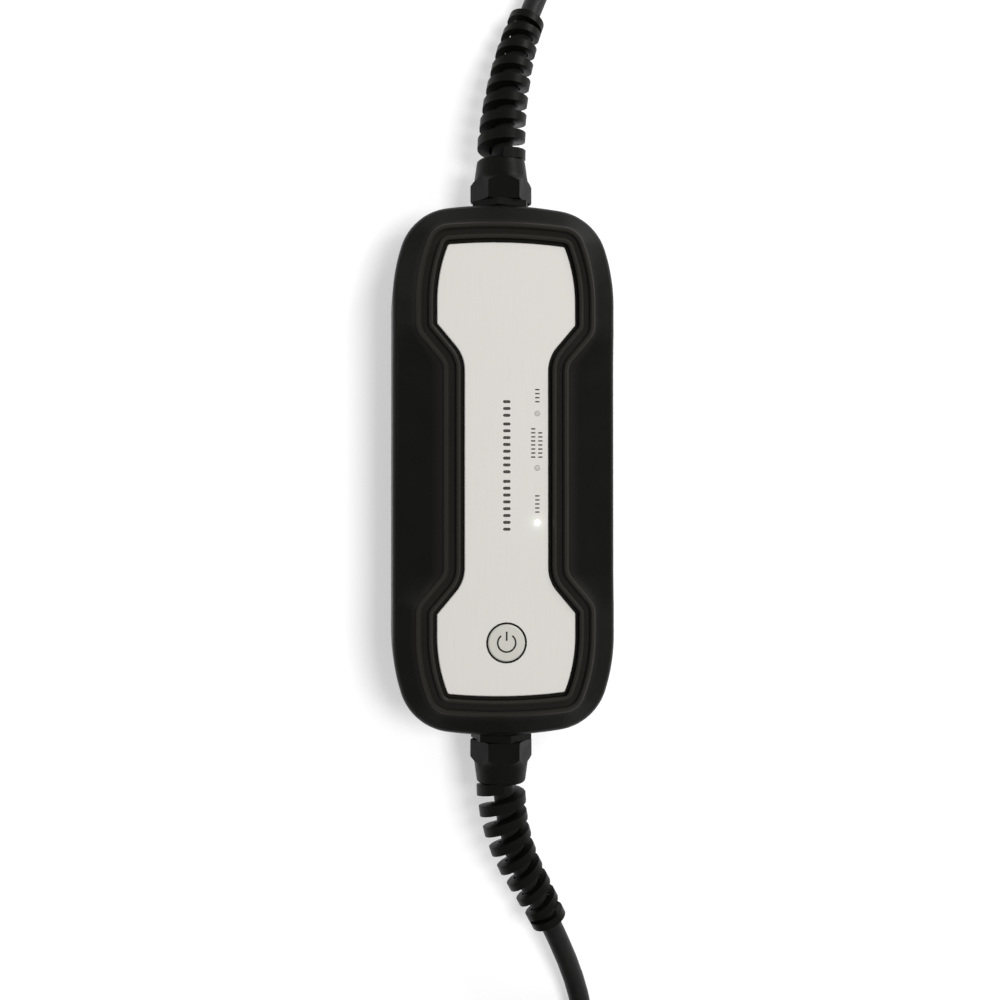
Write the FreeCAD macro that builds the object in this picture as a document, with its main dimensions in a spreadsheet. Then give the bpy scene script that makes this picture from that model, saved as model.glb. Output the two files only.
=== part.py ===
import FreeCAD, Part
import math
import os

import Sketcher

from FreeCAD import Rotation, Vector

"""A portable charging box for an electric vehicle, lying on its back.

Z is up, Y runs along the box towards the mains cord, and the origin is the middle of the box's back.
The mains cord leaves the end at +Y, and the vehicle cord leaves the end at -Y."""

SIZES = {
    # housing
    "half_width": 49.0,
    "half_length": 116.4,
    "side_straight": 73.0,
    "side_radius": 80.0,
    "corner_radius": 25.0,
    "end_radius": 170.0,
    "parting_level": 9.0,
    "shoulder_level": 38.0,
    "shoulder_round": 4.0,
    "island_level": 44.6,
    "wall": 3.0,
    "roof": 2.4,
    "base_round": 5.0,
    "rim_width": 5.0,
    # frame around the plate, as offsets from the plate's edge
    "plate_gap": 1.8,
    "inner_ridge": 1.8,
    "ridge_groove": 3.0,
    "outer_ridge": 2.4,
    "outer_ridge_top": 46.4,
    "inner_ridge_top": 47.4,
    "groove_floor": 43.6,
    "ridge_bevel": 0.7,
    "ridge_lap": 0.5,
    # face plate
    "plate_seat": 44.0,
    "plate_thickness": 1.8,
    "plate_bevel": 0.3,
    "waist_half_width": 18.15,
    "waist_straight": 42.6,
    "waist_radius": 16.0,
    "waist_angle": 40.0,
    "plate_side_margin": 19.0,
    "lobe_corner_radius": 0.5,
    "lobe_straight": 72.0,
    "lobe_side_radius": 66.7,
    "plate_end_margin": 18.4,
    "plate_corner_radius": 1.4,
    "plate_end_radius": 229.0,
    # housing gasket and cover screws
    "gasket_inset": 1.6,
    "gasket_width": 1.8,
    "gasket_depth": 1.5,
    "gasket_clearance": 0.05,
    "pillar_radius": 4.5,
    "corner_pillar_side": 14.5,
    "corner_pillar_end": 18.4,
    "middle_pillar_side": 8.7,
    "screw_radius": 1.75,
    "screw_length": 15.0,
    "screw_head_radius": 3.1,
    "screw_head_height": 2.4,
    "screw_sink": 3.2,
    "screw_recess": 1.4,
    "hole_clearance": 0.1,
    "hole_spare": 0.5,
    "pillar_hole_spare": 2.0,
    # button
    "button_from_plate_end": 23.0,
    "button_radius": 8.0,
    "button_proud": 0.4,
    "button_bevel": 0.5,
    "button_crown": 0.15,
    "button_travel": 0.8,
    "button_hole_radius": 8.85,
    "button_flange_radius": 9.6,
    "button_flange_height": 1.1,
    "button_gap": 0.3,
    "button_stem_radius": 2.5,
    "seal_proud": 0.1,
    "button_clearance": 0.2,
    "plunger_clearance": 0.25,
    "fit_clearance": 0.1,
    # indicators
    "light_across": 13.4,
    "power_light_along": -23.2,
    "current_light_along": 0.5,
    "fault_light_along": 24.1,
    "light_radius": 1.1,
    "light_flange_radius": 1.9,
    "light_flange_height": 0.8,
    "light_proud": 0.1,
    # indicator board
    "front_board_level": 33.4,
    "front_board_along": -28.0,
    "front_board_width": 34.0,
    "front_board_length": 124.0,
    "board_thickness": 1.6,
    "front_screw_across": 14.0,
    "front_screw_along": 58.0,
    "front_post_radius": 2.8,
    "front_screw_radius": 1.0,
    "front_screw_head_radius": 2.1,
    "front_screw_head_height": 1.6,
    "front_screw_length": 6.0,
    "lamp_radius": 1.5,
    "lamp_gap": 0.4,
    "lamp_foot": 0.3,
    "lamp_foot_height": 1.0,
    "lamp_dome": 1.0,
    "lamp_tip": 0.3,
    "lamp_tip_radius": 1.05,
    "switch_size": 6.0,
    "switch_height": 3.5,
    "plunger_radius": 1.75,
    "plunger_out": 1.0,
    "plunger_in": 1.1,
    "plunger_end_gap": 0.1,
    # power board
    "board_level": 10.0,
    "board_side": 15.0,
    "board_length": 150.0,
    "board_post_edge": 4.0,
    "board_post_radius": 3.4,
    "board_screw_length": 7.0,
    "relay_width": 16.0,
    "relay_length": 30.4,
    "relay_height": 23.0,
    "relay_gap": 0.6,
    "relay_from_terminal": 5.3,
    "sensor_radius": 9.0,
    "sensor_bore": 5.2,
    "sensor_width": 8.0,
    "sensor_along": -32.0,
    "link_radius": 1.5,
    "link_across": 1.9,
    "link_reach": 10.0,
    "link_bend": 3.0,
    "terminal_width": 30.0,
    "terminal_length": 11.0,
    "terminal_height": 14.0,
    "terminal_along": 63.0,
    "terminal_pitch": 7.0,
    "terminal_screw_radius": 2.2,
    "terminal_screw_sink": 1.2,
    "terminal_bore": 1.9,
    "terminal_mouth": 4.0,
    "terminal_bore_level": 5.0,
    "terminal_screw_height": 2.0,
    "board_screw_radius": 1.25,
    "board_screw_head_radius": 2.7,
    "front_screw_recess": 0.7,
    "case_bevel": 0.8,
    "supply_width": 22.0,
    "supply_length": 34.0,
    "supply_height": 17.0,
    "supply_across": 21.0,
    "supply_along": -28.0,
    "film_width": 9.0,
    "film_length": 18.0,
    "film_height": 15.0,
    "film_across": -24.0,
    "film_along": 4.0,
    "choke_width": 17.0,
    "choke_length": 20.0,
    "choke_height": 15.0,
    "choke_across": 20.0,
    "choke_along": 5.0,
    "can_radius": 5.0,
    "can_height": 16.0,
    "can_bevel": 0.6,
    "can_across": -25.0,
    "can_along": -16.0,
    "can_pitch": 13.0,
    "surge_width": 10.0,
    "surge_length": 3.6,
    "surge_height": 12.0,
    "surge_across": -26.0,
    "surge_along": 17.0,
    "surge_pitch": 13.0,
    "fuse_width": 6.0,
    "fuse_length": 16.0,
    "fuse_height": 8.0,
    "fuse_across": -8.0,
    "fuse_along": 0.0,
    "chip_size": 10.0,
    "chip_height": 1.6,
    "chip_bevel": 0.2,
    "chip_across": -12.0,
    "chip_along": -48.0,
    "driver_width": 5.0,
    "driver_length": 6.0,
    "driver_across": 2.0,
    "driver_along": -14.0,
    "driver_pitch": 34.0,
    "core_spread": 1.9,
    "core_straight": 14.0,
    "core_slope": 15.5,
    "core_run": 16.0,
    "core_bend": 9.0,
    "core_radius": 1.6,
    "ribbon_across": -15.5,
    "ribbon_along": -19.0,
    "flat_cable_width": 12.0,
    "ribbon_thickness": 0.9,
    "ribbon_bow": 4.0,
    # glands
    "cord_radius": 4.75,
    "gland_level": 23.5,
    "gland_sink": 0.6,
    "gland_pad_radius": 15.0,
    "gland_pad_depth": 3.4,
    "thread_radius": 10.0,
    "thread_length": 11.3,
    "gland_across_flats": 24.0,
    "washer_thickness": 1.2,
    "washer_radius": 11.5,
    "flange_thickness": 3.1,
    "flange_turn": 18.0,
    "clamp_radius": 8.4,
    "clamp_bore": 6.6,
    "clamp_length": 12.0,
    "clamp_edge": 1.0,
    "thread_lap": 1.0,
    "locknut_across_flats": 24.0,
    "locknut_thickness": 5.0,
    "nut_gap": 0.2,
    "nut_hexagon": 7.7,
    "nut_shoulder": 2.2,
    "nut_cone": 9.2,
    "nut_cone_radius": 12.1,
    "nut_tip_radius": 10.9,
    "nut_edge": 0.7,
    "nut_clearance": 0.3,
    "nut_end_gap": 0.5,
    "nut_taper": 2.0,
    "seal_depth": 1.0,
    "seal_length": 12.0,
    # spiral bend relief
    "spiral_length": 66.0,
    "spiral_pitch": 8.6,
    "ribbon_width": 5.6,
    "ribbon_tip_width": 4.2,
    "ribbon_crest": 0.8,
    "ribbon_inset": 0.25,
    "ribbon_facets": 20,
    "spiral_radius": 11.2,
    "spiral_tip_radius": 8.2,
    "spiral_clearance": 0.6,
    "spiral_collar": 3.6,
    "spiral_root": 1.6,
    # cords
    "cord_inset": 5.8,
    "tie_thickness": 1.2,
    "tie_width": 16.0,
    "tie_clearance": 0.8,
    "coil_out": 225.2,
    "coil_across": 0.0,
    "coil_radius": 37.5,
    "coil_straight": 86.0,
    # mains plug
    "plug_radius": 18.5,
    "plug_face_length": 20.0,
    "plug_grip_length": 26.0,
    "plug_relief_length": 22.0,
    "plug_grip_radius": 12.5,
    "plug_grip_flare": 3.0,
    "plug_grip_groove": 0.7,
    "plug_relief_radius": 9.0,
    "plug_relief_wall": 1.6,
    "plug_relief_groove": 1.0,
    "plug_neck": 2.0,
    "plug_flare_length": 4.0,
    "plug_edge": 1.0,
    "pin_radius": 2.4,
    "pin_length": 19.0,
    "pin_pitch": 19.0,
    "pin_bevel": 1.0,
    "earth_clip_width": 8.0,
    "earth_clip_thickness": 1.2,
    "earth_clip_depth": 3.5,
    "earth_clip_gap": 0.6,
    # vehicle connector
    "nose_radius": 31.0,
    "nose_flat": 25.0,
    "nose_length": 42.0,
    "nose_wall": 2.6,
    "nose_depth": 30.0,
    "block_radius": 24.5,
    "block_flat": 19.5,
    "contact_radius": 4.6,
    "contact_bore": 3.1,
    "contact_pitch": 16.0,
    "contact_row": 14.0,
    "contact_side": 8.5,
    "signal_row": 12.5,
    "signal_side": 7.5,
    "contact_depth": 25.0,
    "signal_radius": 2.8,
    "signal_bore": 1.6,
    "handle_length": 140.0,
    "relief_length": 36.0,
    "relief_radius": 10.0,
    "relief_wall": 1.5,
    "relief_groove": 1.1,
    "handle_groove_start": 26.0,
    "handle_groove_pitch": 7.0,
    "handle_groove_length": 56.0,
    "handle_groove_depth": 0.9,
    "handle_neck_radius": 12.0,
    "handle_radius": 18.0,
    "nose_step": 1.5,
    "nose_edge": 1.0,
    "block_inset": 1.7,
    "contact_sink": 1.5,
    "contact_floor": 2.0,
    "notch_width": 9.0,
    "notch_length": 7.0,
    "notch_depth": 3.0,
    "notch_inset": 14.0,
}

doc = FreeCAD.newDocument("charging_box")
sheet = doc.addObject("Spreadsheet::Sheet", "Sizes")
for row, (alias, number) in enumerate(SIZES.items(), start=1):
    sheet.set(f"A{row}", alias.replace("_", " "))
    sheet.set(f"B{row}", str(number))
    sheet.setAlias(f"B{row}", alias)
doc.recompute()


class Size:
    """A number that keeps the sheet's formula for itself."""

    def __init__(self, value, formula=None):
        self.value = float(value)
        self.formula = formula or f"({self.value:.6f})"

    def __float__(self):
        return self.value

    def joined(self, sign, other, value):
        return Size(value, f"({self.formula} {sign} {other.formula})")

    def __add__(self, other):
        other = as_size(other)
        return self.joined("+", other, self.value + other.value)

    def __sub__(self, other):
        other = as_size(other)
        return self.joined("-", other, self.value - other.value)

    def __mul__(self, other):
        other = as_size(other)
        return self.joined("*", other, self.value * other.value)

    def __truediv__(self, other):
        other = as_size(other)
        return self.joined("/", other, self.value / other.value)

    def __neg__(self):
        return self * -1

    def __radd__(self, other):
        return as_size(other) + self

    def __rsub__(self, other):
        return as_size(other) - self

    def __rmul__(self, other):
        return as_size(other) * self


def as_size(thing):
    return thing if isinstance(thing, Size) else Size(thing)


class Sheet:
    """The driving sizes, read from the sheet by name."""

    def __getattr__(self, alias):
        return Size(sheet.get(alias), f"Sizes.{alias}")


s = Sheet()

# Sizes that follow from the driving ones.
ROOF_UNDER = s.plate_seat - s.roof
PLATE_TOP = s.plate_seat + s.plate_thickness
PLATE_HALF_LENGTH = s.half_length - s.plate_end_margin
LOBE_HALF_WIDTH = s.half_width - s.plate_side_margin
BUTTON_ALONG = s.button_from_plate_end - PLATE_HALF_LENGTH
BOARD_WIDTH = (s.half_width - s.board_side) * 2
ISLAND = s.plate_gap + s.inner_ridge + s.ridge_groove + s.outer_ridge
FRONT_BOARD_TOP = s.front_board_level + s.board_thickness
BOARD_TOP = s.board_level + s.board_thickness
BUTTON_FLANGE_TOP = ROOF_UNDER - s.button_gap
BUTTON_FLANGE_LEVEL = BUTTON_FLANGE_TOP - s.button_flange_height
SCREW_SEAT = BOARD_TOP + s.terminal_height - s.terminal_screw_sink - s.terminal_screw_height
SWITCH_TOP = FRONT_BOARD_TOP + s.switch_height
PLUNGER_TOP = SWITCH_TOP + s.plunger_out
PLUNGER_BORE = s.plunger_in + s.button_travel + s.plunger_end_gap
GLAND_SEAT = s.half_length - s.gland_sink
THREAD_END = GLAND_SEAT - s.thread_length
CORD_START = GLAND_SEAT - s.cord_inset
COIL_ALONG = -(GLAND_SEAT + s.coil_out)
PAD_LEVEL = GLAND_SEAT - s.gland_pad_depth
FLANGE_LEVEL = GLAND_SEAT + s.washer_thickness
NUT_LEVEL = FLANGE_LEVEL + s.flange_thickness + s.nut_gap
SHOULDER_END = NUT_LEVEL + s.nut_hexagon + s.nut_shoulder
NUT_END = SHOULDER_END + s.nut_cone
CLAMP_END = FLANGE_LEVEL + s.flange_thickness + s.clamp_length
HEX_CORNERS = s.gland_across_flats / math.sqrt(3)
LOCKNUT_CORNERS = s.locknut_across_flats / math.sqrt(3)
FRONT = s.relief_length + s.handle_length
HANDLE_END = s.nose_radius - s.nose_step
OVER = 6.0  # how far a cutting solid runs past what it cuts
BEFORE = 1.0  # how far it begins before it
ALONG_Y = Rotation(Vector(0, 0, 1), Vector(0, 1, 0))
AGAINST_Y = Rotation(Vector(1, 0, 0), 90)

nodes = {}


def bind(item, **sizes):
    """Tie properties of an object to the sheet. Two underscores stand for a dot."""
    for name, value in sizes.items():
        item.setExpression(name.replace("__", "."), as_size(value).formula)
    return item


def place(item, x=0, y=0, z=0, turn=None):
    if turn is not None:
        item.Placement.Rotation = turn
    return bind(item, Placement__Base__x=x, Placement__Base__y=y, Placement__Base__z=z)


def box(name, length, width, height, x=0, y=0, z=0):
    """A box that is centred across and along on x and y and stands on z."""
    item = doc.addObject("Part::Box", name)
    bind(item, Length=length, Width=width, Height=height)
    return place(item, as_size(x) - as_size(length) / 2, as_size(y) - as_size(width) / 2, z)


def cylinder(name, radius, height, x=0, y=0, z=0, turn=None):
    item = doc.addObject("Part::Cylinder", name)
    bind(item, Radius=radius, Height=height)
    return place(item, x, y, z, turn)


def cone(name, radius, top_radius, height, x=0, y=0, z=0, turn=None):
    item = doc.addObject("Part::Cone", name)
    bind(item, Radius1=radius, Radius2=top_radius, Height=height)
    return place(item, x, y, z, turn)


def prism(name, corner_radius, height, x=0, y=0, z=0, turn=None):
    item = doc.addObject("Part::Prism", name)
    item.Polygon = 6
    bind(item, Circumradius=corner_radius, Height=height)
    return place(item, x, y, z, turn)


def join(name, *items):
    item = doc.addObject("Part::MultiFuse", name)
    item.Shapes = list(items)
    return item


def cut(name, base, *tools):
    item = doc.addObject("Part::Cut", name)
    item.Base = base
    item.Tool = tools[0] if len(tools) == 1 else join(name + "_tools", *tools)
    return item


def overlap(name, *items):
    item = doc.addObject("Part::MultiCommon", name)
    item.Shapes = list(items)
    return item


def group(name, *items):
    item = doc.addObject("Part::Compound", name)
    item.Links = list(items)
    return item


def feature(name, shape):
    item = doc.addObject("Part::Feature", name)
    item.Shape = shape
    return item


def node(name, item):
    """Keep an object as a sub-part with a label of its own."""
    item.Label = name
    nodes[name] = item
    return item


def sketch_corners(sketch, corners):
    """A closed outline through corners, each tied to the sheet by its two distances."""
    ends = [Vector(float(x), float(y), 0) for x, y in corners]
    first = sketch.GeometryCount
    count = len(ends)
    for i in range(count):
        sketch.addGeometry(Part.LineSegment(ends[i], ends[(i + 1) % count]), False)
    for i in range(count):
        line, after = first + i, first + (i + 1) % count
        sketch.addConstraint(Sketcher.Constraint("Coincident", line, 2, after, 1))
    for i, (x, y) in enumerate(corners):
        for kind, value in (("DistanceX", x), ("DistanceY", y)):
            number = sketch.addConstraint(Sketcher.Constraint(kind, -1, 1, first + i, 1, float(value)))
            sketch.setExpression(f"Constraints[{number}]", as_size(value).formula)


def sketch_circle(sketch, radius, x, y):
    circle = sketch.addGeometry(
        Part.Circle(Vector(float(x), float(y), 0), Vector(0, 0, 1), float(radius)), False
    )
    for kind, value in (("DistanceX", x), ("DistanceY", y)):
        number = sketch.addConstraint(Sketcher.Constraint(kind, -1, 1, circle, 3, float(value)))
        sketch.setExpression(f"Constraints[{number}]", as_size(value).formula)
    number = sketch.addConstraint(Sketcher.Constraint("Radius", circle, float(radius)))
    sketch.setExpression(f"Constraints[{number}]", as_size(radius).formula)


def new_body(name, plane):
    body = doc.addObject("PartDesign::Body", name)
    sketch = body.newObject("Sketcher::SketchObject", name + "_sketch")
    face = next(item for item in body.Origin.OriginFeatures if item.Role == plane)
    sketch.AttachmentSupport = [(face, "")]
    sketch.MapMode = "FlatFace"
    return body, sketch


def turned(name, corners, x=0, y=0, z=0, turn=None):
    """A solid turned about its own Z axis, from corners given as radius and height."""
    body, sketch = new_body(name, "XZ_Plane")
    sketch_corners(sketch, corners)
    solid = body.newObject("PartDesign::Revolution", name + "_turned")
    solid.Profile = sketch
    solid.ReferenceAxis = (sketch, ["V_Axis"])
    solid.Angle = 360
    body.Tip = solid
    return place(body, x, y, z, turn)


def padded(name, corners, height, circles=(), x=0, y=0, z=0, turn=None):
    """A plate of one thickness, from its corners and its round holes."""
    body, sketch = new_body(name, "XY_Plane")
    sketch_corners(sketch, corners)
    for circle in circles:
        sketch_circle(sketch, *circle)
    solid = body.newObject("PartDesign::Pad", name + "_pad")
    solid.Profile = sketch
    bind(solid, Length=height)
    body.Tip = solid
    return place(body, x, y, z, turn)


def rectangle(width, length):
    across, along = as_size(width) / 2, as_size(length) / 2
    return [(-across, -along), (across, -along), (across, along), (-across, along)]


# Outlines. A quarter is a list of stretches, each its start, its middle point or None, and its end.

def arc(x, y, radius, start, end):
    """A round stretch about x, y, between two angles in radians."""
    angles = (start, (start + end) / 2, end)
    return tuple((x + radius * math.cos(a), y + radius * math.sin(a)) for a in angles)


def between_arcs(first, first_radius, second, second_radius):
    """The upper right point at these distances from two centres."""
    (ax, ay), (bx, by) = first, second
    gap = math.hypot(bx - ax, by - ay)
    along = (gap**2 + first_radius**2 - second_radius**2) / (2 * gap)
    aside = math.sqrt(first_radius**2 - along**2)
    ux, uy = (bx - ax) / gap, (by - ay) / gap
    found = [(ax + along * ux - k * aside * uy, ay + along * uy + k * aside * ux) for k in (1, -1)]
    return max(found)


def rounded_end(half_width, straight, side_radius, corner_radius, end_radius, half_length, grow):
    """Side, corner and end stretches that run into each other, moved outwards by grow."""
    side = (half_width - side_radius, straight)
    end = (0.0, half_length - end_radius)
    corner = between_arcs(side, side_radius - corner_radius, end, end_radius - corner_radius)
    first = math.atan2(corner[1] - side[1], corner[0] - side[0])
    second = math.atan2(corner[1] - end[1], corner[0] - end[0])
    return [
        arc(*side, side_radius + grow, 0.0, first),
        arc(*corner, corner_radius + grow, first, second),
        arc(*end, end_radius + grow, second, math.pi / 2),
    ]


def plate_quarter(grow):
    """The waisted plate's edge, moved outwards by grow."""
    waist, straight = float(s.waist_half_width), float(s.waist_straight)
    radius, angle = float(s.waist_radius), math.radians(float(s.waist_angle))
    lobe, corner = float(LOBE_HALF_WIDTH), float(s.lobe_corner_radius)
    hollow = arc(waist + radius, straight, radius - grow, math.pi, math.pi - angle)
    edge_x = waist + radius - radius * math.cos(angle)
    edge_y = straight + radius * math.sin(angle)
    corner_x = lobe - corner
    corner_y = edge_y + ((corner_x - edge_x) * math.cos(angle) + corner) / math.sin(angle)
    tip = arc(corner_x, corner_y, corner + grow, -angle, 0.0)
    side = (lobe + grow, float(s.lobe_straight))
    return [
        ((waist + grow, 0.0), None, hollow[0]),
        hollow,
        (hollow[2], None, tip[0]),
        tip,
        (tip[2], None, side),
    ] + rounded_end(
        lobe, float(s.lobe_straight), float(s.lobe_side_radius), float(s.plate_corner_radius),
        float(s.plate_end_radius), float(PLATE_HALF_LENGTH), grow,
    )


def housing_quarter(grow):
    """The housing's outline, moved outwards by grow, with as many stretches as the plate's."""
    side, straight = float(s.half_width), float(s.side_straight)
    stops = [0.0] + [stretch[2][1] for stretch in plate_quarter(float(ISLAND))[:4]] + [straight]
    sides = [((side + grow, a), None, (side + grow, b)) for a, b in zip(stops, stops[1:])]
    return sides + rounded_end(
        side, straight, float(s.side_radius), float(s.corner_radius), float(s.end_radius),
        float(s.half_length), grow,
    )


def closed_wire(quarter, level):
    """The wire of four mirrored quarters, at a level."""
    def moved(stretch, kx, ky):
        points = [None if p is None else (kx * p[0], ky * p[1]) for p in stretch]
        return points if kx * ky > 0 else points[::-1]

    edges = []
    for kx, ky in ((1, 1), (-1, 1), (-1, -1), (1, -1)):
        stretches = [moved(stretch, kx, ky) for stretch in quarter]
        for start, middle, end in stretches if kx * ky > 0 else stretches[::-1]:
            a, b = Vector(*start, level), Vector(*end, level)
            if middle is None:
                edges.append(Part.LineSegment(a, b).toShape())
            else:
                edges.append(Part.Arc(a, Vector(*middle, level), b).toShape())
    return Part.Wire(edges)


def slab(outline, *steps):
    """A solid through an outline's sections, each given as its growth and its level."""
    wires = [closed_wire(outline(float(grow)), float(level)) for grow, level in steps]
    return Part.makeLoft(wires, True, True)


def ring(outline, outer, inner, low, high, bevel):
    """A raised ring between two offsets of an outline, with bevelled upper edges."""
    top = float(high) - float(bevel)
    body = slab(outline, (outer, low), (outer, top), (float(outer) - float(bevel), high))
    hole = slab(outline, (inner, float(low) - OVER), (inner, top), (float(inner) + float(bevel), high),
                (float(inner) + float(bevel), float(high) + OVER))
    return body.cut(hole)


def pillar_places():
    across, along = s.half_width - s.corner_pillar_side, s.half_length - s.corner_pillar_end
    corners = [(across * kx, along * ky) for kx in (1, -1) for ky in (1, -1)]
    return corners + [((s.half_width - s.middle_pillar_side) * kx, Size(0)) for kx in (1, -1)]


def board_post_places():
    across, along = BOARD_WIDTH / 2 - s.board_post_edge, s.board_length / 2 - s.board_post_edge
    return [(across * kx, along * ky) for kx in (1, -1) for ky in (1, -1)]


def front_post_places():
    return [
        (s.front_screw_across * kx, s.front_board_along + s.front_screw_along * ky)
        for kx in (1, -1) for ky in (1, -1)
    ]


def light_places():
    places = (s.power_light_along, s.current_light_along, s.fault_light_along)
    return [(s.light_across, along) for along in places]


def make_front_housing():
    island = float(ISLAND)
    block = Part.makeLoft([
        closed_wire(housing_quarter(0.0), float(s.parting_level)),
        closed_wire(housing_quarter(0.0), float(s.shoulder_level)),
        closed_wire(plate_quarter(island), float(s.island_level)),
    ], True, True)
    shoulder = [
        edge for edge in block.Edges
        if all(abs(v.Z - float(s.shoulder_level)) < 1e-6 for v in edge.Vertexes)
        and abs(edge.CenterOfMass.z - float(s.shoulder_level)) < 1e-6
    ]
    block = block.makeFillet(float(s.shoulder_round), shoulder)
    groove = float(s.plate_gap) + float(s.inner_ridge)
    outer = ring(plate_quarter, island, island - float(s.outer_ridge), float(s.groove_floor) - OVER,
                 s.outer_ridge_top, s.ridge_bevel)
    inner = ring(plate_quarter, groove, s.plate_gap, float(s.groove_floor) - OVER,
                 s.inner_ridge_top, s.ridge_bevel)
    under = island - float(s.ridge_lap)
    floor = slab(plate_quarter, (under, float(s.groove_floor) - OVER), (under, s.groove_floor))
    shell = block.fuse([outer, inner, floor])
    recess = slab(plate_quarter, (s.plate_gap, s.plate_seat), (s.plate_gap, float(s.inner_ridge_top) + OVER))
    shell = feature("front_shell_outside", shell.cut(recess).removeSplitter())

    wall = -float(s.wall)
    cavity = feature("front_cavity_space", Part.makeLoft([
        closed_wire(housing_quarter(wall), float(s.parting_level) - OVER),
        closed_wire(housing_quarter(wall), float(s.shoulder_level) - float(s.wall)),
        closed_wire(plate_quarter(island + wall), float(ROOF_UNDER)),
    ], True, True))
    kept = [
        cylinder(f"pillar_{i}", s.pillar_radius, s.island_level, x, y, s.parting_level)
        for i, (x, y) in enumerate(pillar_places())
    ]
    kept += [
        cylinder(f"front_post_{i}", s.front_post_radius, OVER * 2, x, y, FRONT_BOARD_TOP)
        for i, (x, y) in enumerate(front_post_places())
    ]
    for name, turn in (("mains_pad", ALONG_Y), ("vehicle_pad", AGAINST_Y)):
        sign = 1 if turn is ALONG_Y else -1
        kept.append(cylinder(name, s.gland_pad_radius, OVER, 0, PAD_LEVEL * sign, s.gland_level, turn))
    cavity = cut("front_cavity", cavity, *kept)

    holes = [
        cylinder(f"pillar_hole_{i}", s.screw_radius + s.hole_clearance / 2,
                 s.screw_length + s.screw_sink - s.parting_level + s.pillar_hole_spare, x, y, s.parting_level)
        for i, (x, y) in enumerate(pillar_places())
    ]
    holes += [
        cylinder(f"front_post_hole_{i}", s.front_screw_radius + s.hole_clearance / 2,
                 s.front_screw_length - s.board_thickness + s.hole_spare, x, y, FRONT_BOARD_TOP)
        for i, (x, y) in enumerate(front_post_places())
    ]
    holes += [
        cylinder(f"light_hole_{i}", s.light_radius + s.fit_clearance, OVER * 2, x, y, ROOF_UNDER - OVER)
        for i, (x, y) in enumerate(light_places())
    ]
    holes.append(cylinder("button_roof_hole", s.button_hole_radius, OVER * 2, 0, BUTTON_ALONG,
                          ROOF_UNDER - OVER))
    for name, turn in (("mains", ALONG_Y), ("vehicle", AGAINST_Y)):
        sign = 1 if turn is ALONG_Y else -1
        holes.append(cylinder(name + "_gland_hole", s.thread_radius + s.hole_clearance, OVER * 4,
                              0, (GLAND_SEAT - OVER * 2) * sign, s.gland_level, turn))
        holes.append(cylinder(name + "_gland_face", s.gland_pad_radius, OVER * 2,
                              0, GLAND_SEAT * sign, s.gland_level, turn))
    hollow = cut("front_housing_hollow", shell, cavity)
    return node("front_housing", cut("front_housing_solid", hollow, *holes))


def make_back_cover():
    outline = [closed_wire(housing_quarter(0.0), level) for level in (0.0, float(s.parting_level))]
    block = Part.makeLoft(outline, True, True)
    rim = [edge for edge in block.Edges if edge.BoundBox.ZMax < 1e-6]
    block = feature("cover_block", block.makeFillet(float(s.base_round), rim))
    inside = feature("cover_inside", slab(
        housing_quarter, (-float(s.rim_width), s.wall), (-float(s.rim_width), float(s.parting_level) + OVER),
    ))
    groove_low = float(s.parting_level) - float(s.gasket_depth)
    inset, width = float(s.gasket_inset), float(s.gasket_width)
    groove = feature("gasket_groove", slab(
        housing_quarter, (-inset, groove_low), (-inset, float(s.parting_level) + OVER),
    ).cut(slab(
        housing_quarter, (-inset - width, groove_low - OVER),
        (-inset - width, float(s.parting_level) + 2 * OVER),
    )))
    bosses = [
        cylinder(f"cover_boss_{i}", s.pillar_radius, s.parting_level, x, y, 0)
        for i, (x, y) in enumerate(pillar_places())
    ]
    bosses += [
        cylinder(f"board_post_{i}", s.board_post_radius, s.board_level, x, y, 0)
        for i, (x, y) in enumerate(board_post_places())
    ]
    raised = [overlap("cover_bosses_inside", block, join("cover_bosses", *bosses[:6]))] + bosses[6:]
    holes = []
    for i, (x, y) in enumerate(pillar_places()):
        holes.append(cylinder(f"cover_hole_{i}", s.screw_radius + s.hole_clearance * 2,
                              s.parting_level * 2, x, y, 0))
        holes.append(cylinder(f"cover_sink_{i}", s.screw_head_radius + s.hole_clearance * 2,
                              s.screw_sink, x, y, 0))
    holes += [
        cylinder(f"board_post_hole_{i}", s.board_screw_radius + s.hole_clearance / 2, OVER * 2, x, y,
                 s.board_level + s.board_thickness - s.board_screw_length - s.hole_spare)
        for i, (x, y) in enumerate(board_post_places())
    ]
    shell = cut("cover_shell", block, inside)
    whole = join("cover_whole", shell, *raised)
    node("back_cover", cut("back_cover_solid", whole, groove, *holes))

    gap = float(s.gasket_clearance)
    gasket = slab(housing_quarter, (-inset - gap, groove_low), (-inset - gap, s.parting_level)).cut(slab(
        housing_quarter, (-inset - width + gap, groove_low - OVER),
        (-inset - width + gap, float(s.parting_level) + OVER),
    ))
    node("housing_gasket", feature("housing_gasket_ring", gasket))


def screw(name, radius, length, head_radius, head_height, recess, x, y, z, turn=None):
    """A pan head screw whose head sits below z and whose shank rises from it."""
    return turned(name, [
        (0, recess - head_height), (head_radius * 0.35, recess - head_height),
        (head_radius * 0.5, -head_height), (head_radius * 0.75, -head_height),
        (head_radius, -head_height * 0.5), (head_radius, 0), (radius, 0),
        (radius, length - radius * 0.6), (radius * 0.5, length), (0, length),
    ], x, y, z, turn)


def make_cover_screws():
    node("cover_screws", group("cover_screw_group", *[
        screw(f"cover_screw_{i}", s.screw_radius, s.screw_length, s.screw_head_radius, s.screw_head_height,
              s.screw_recess, x, y, s.screw_sink)
        for i, (x, y) in enumerate(pillar_places())
    ]))


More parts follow.
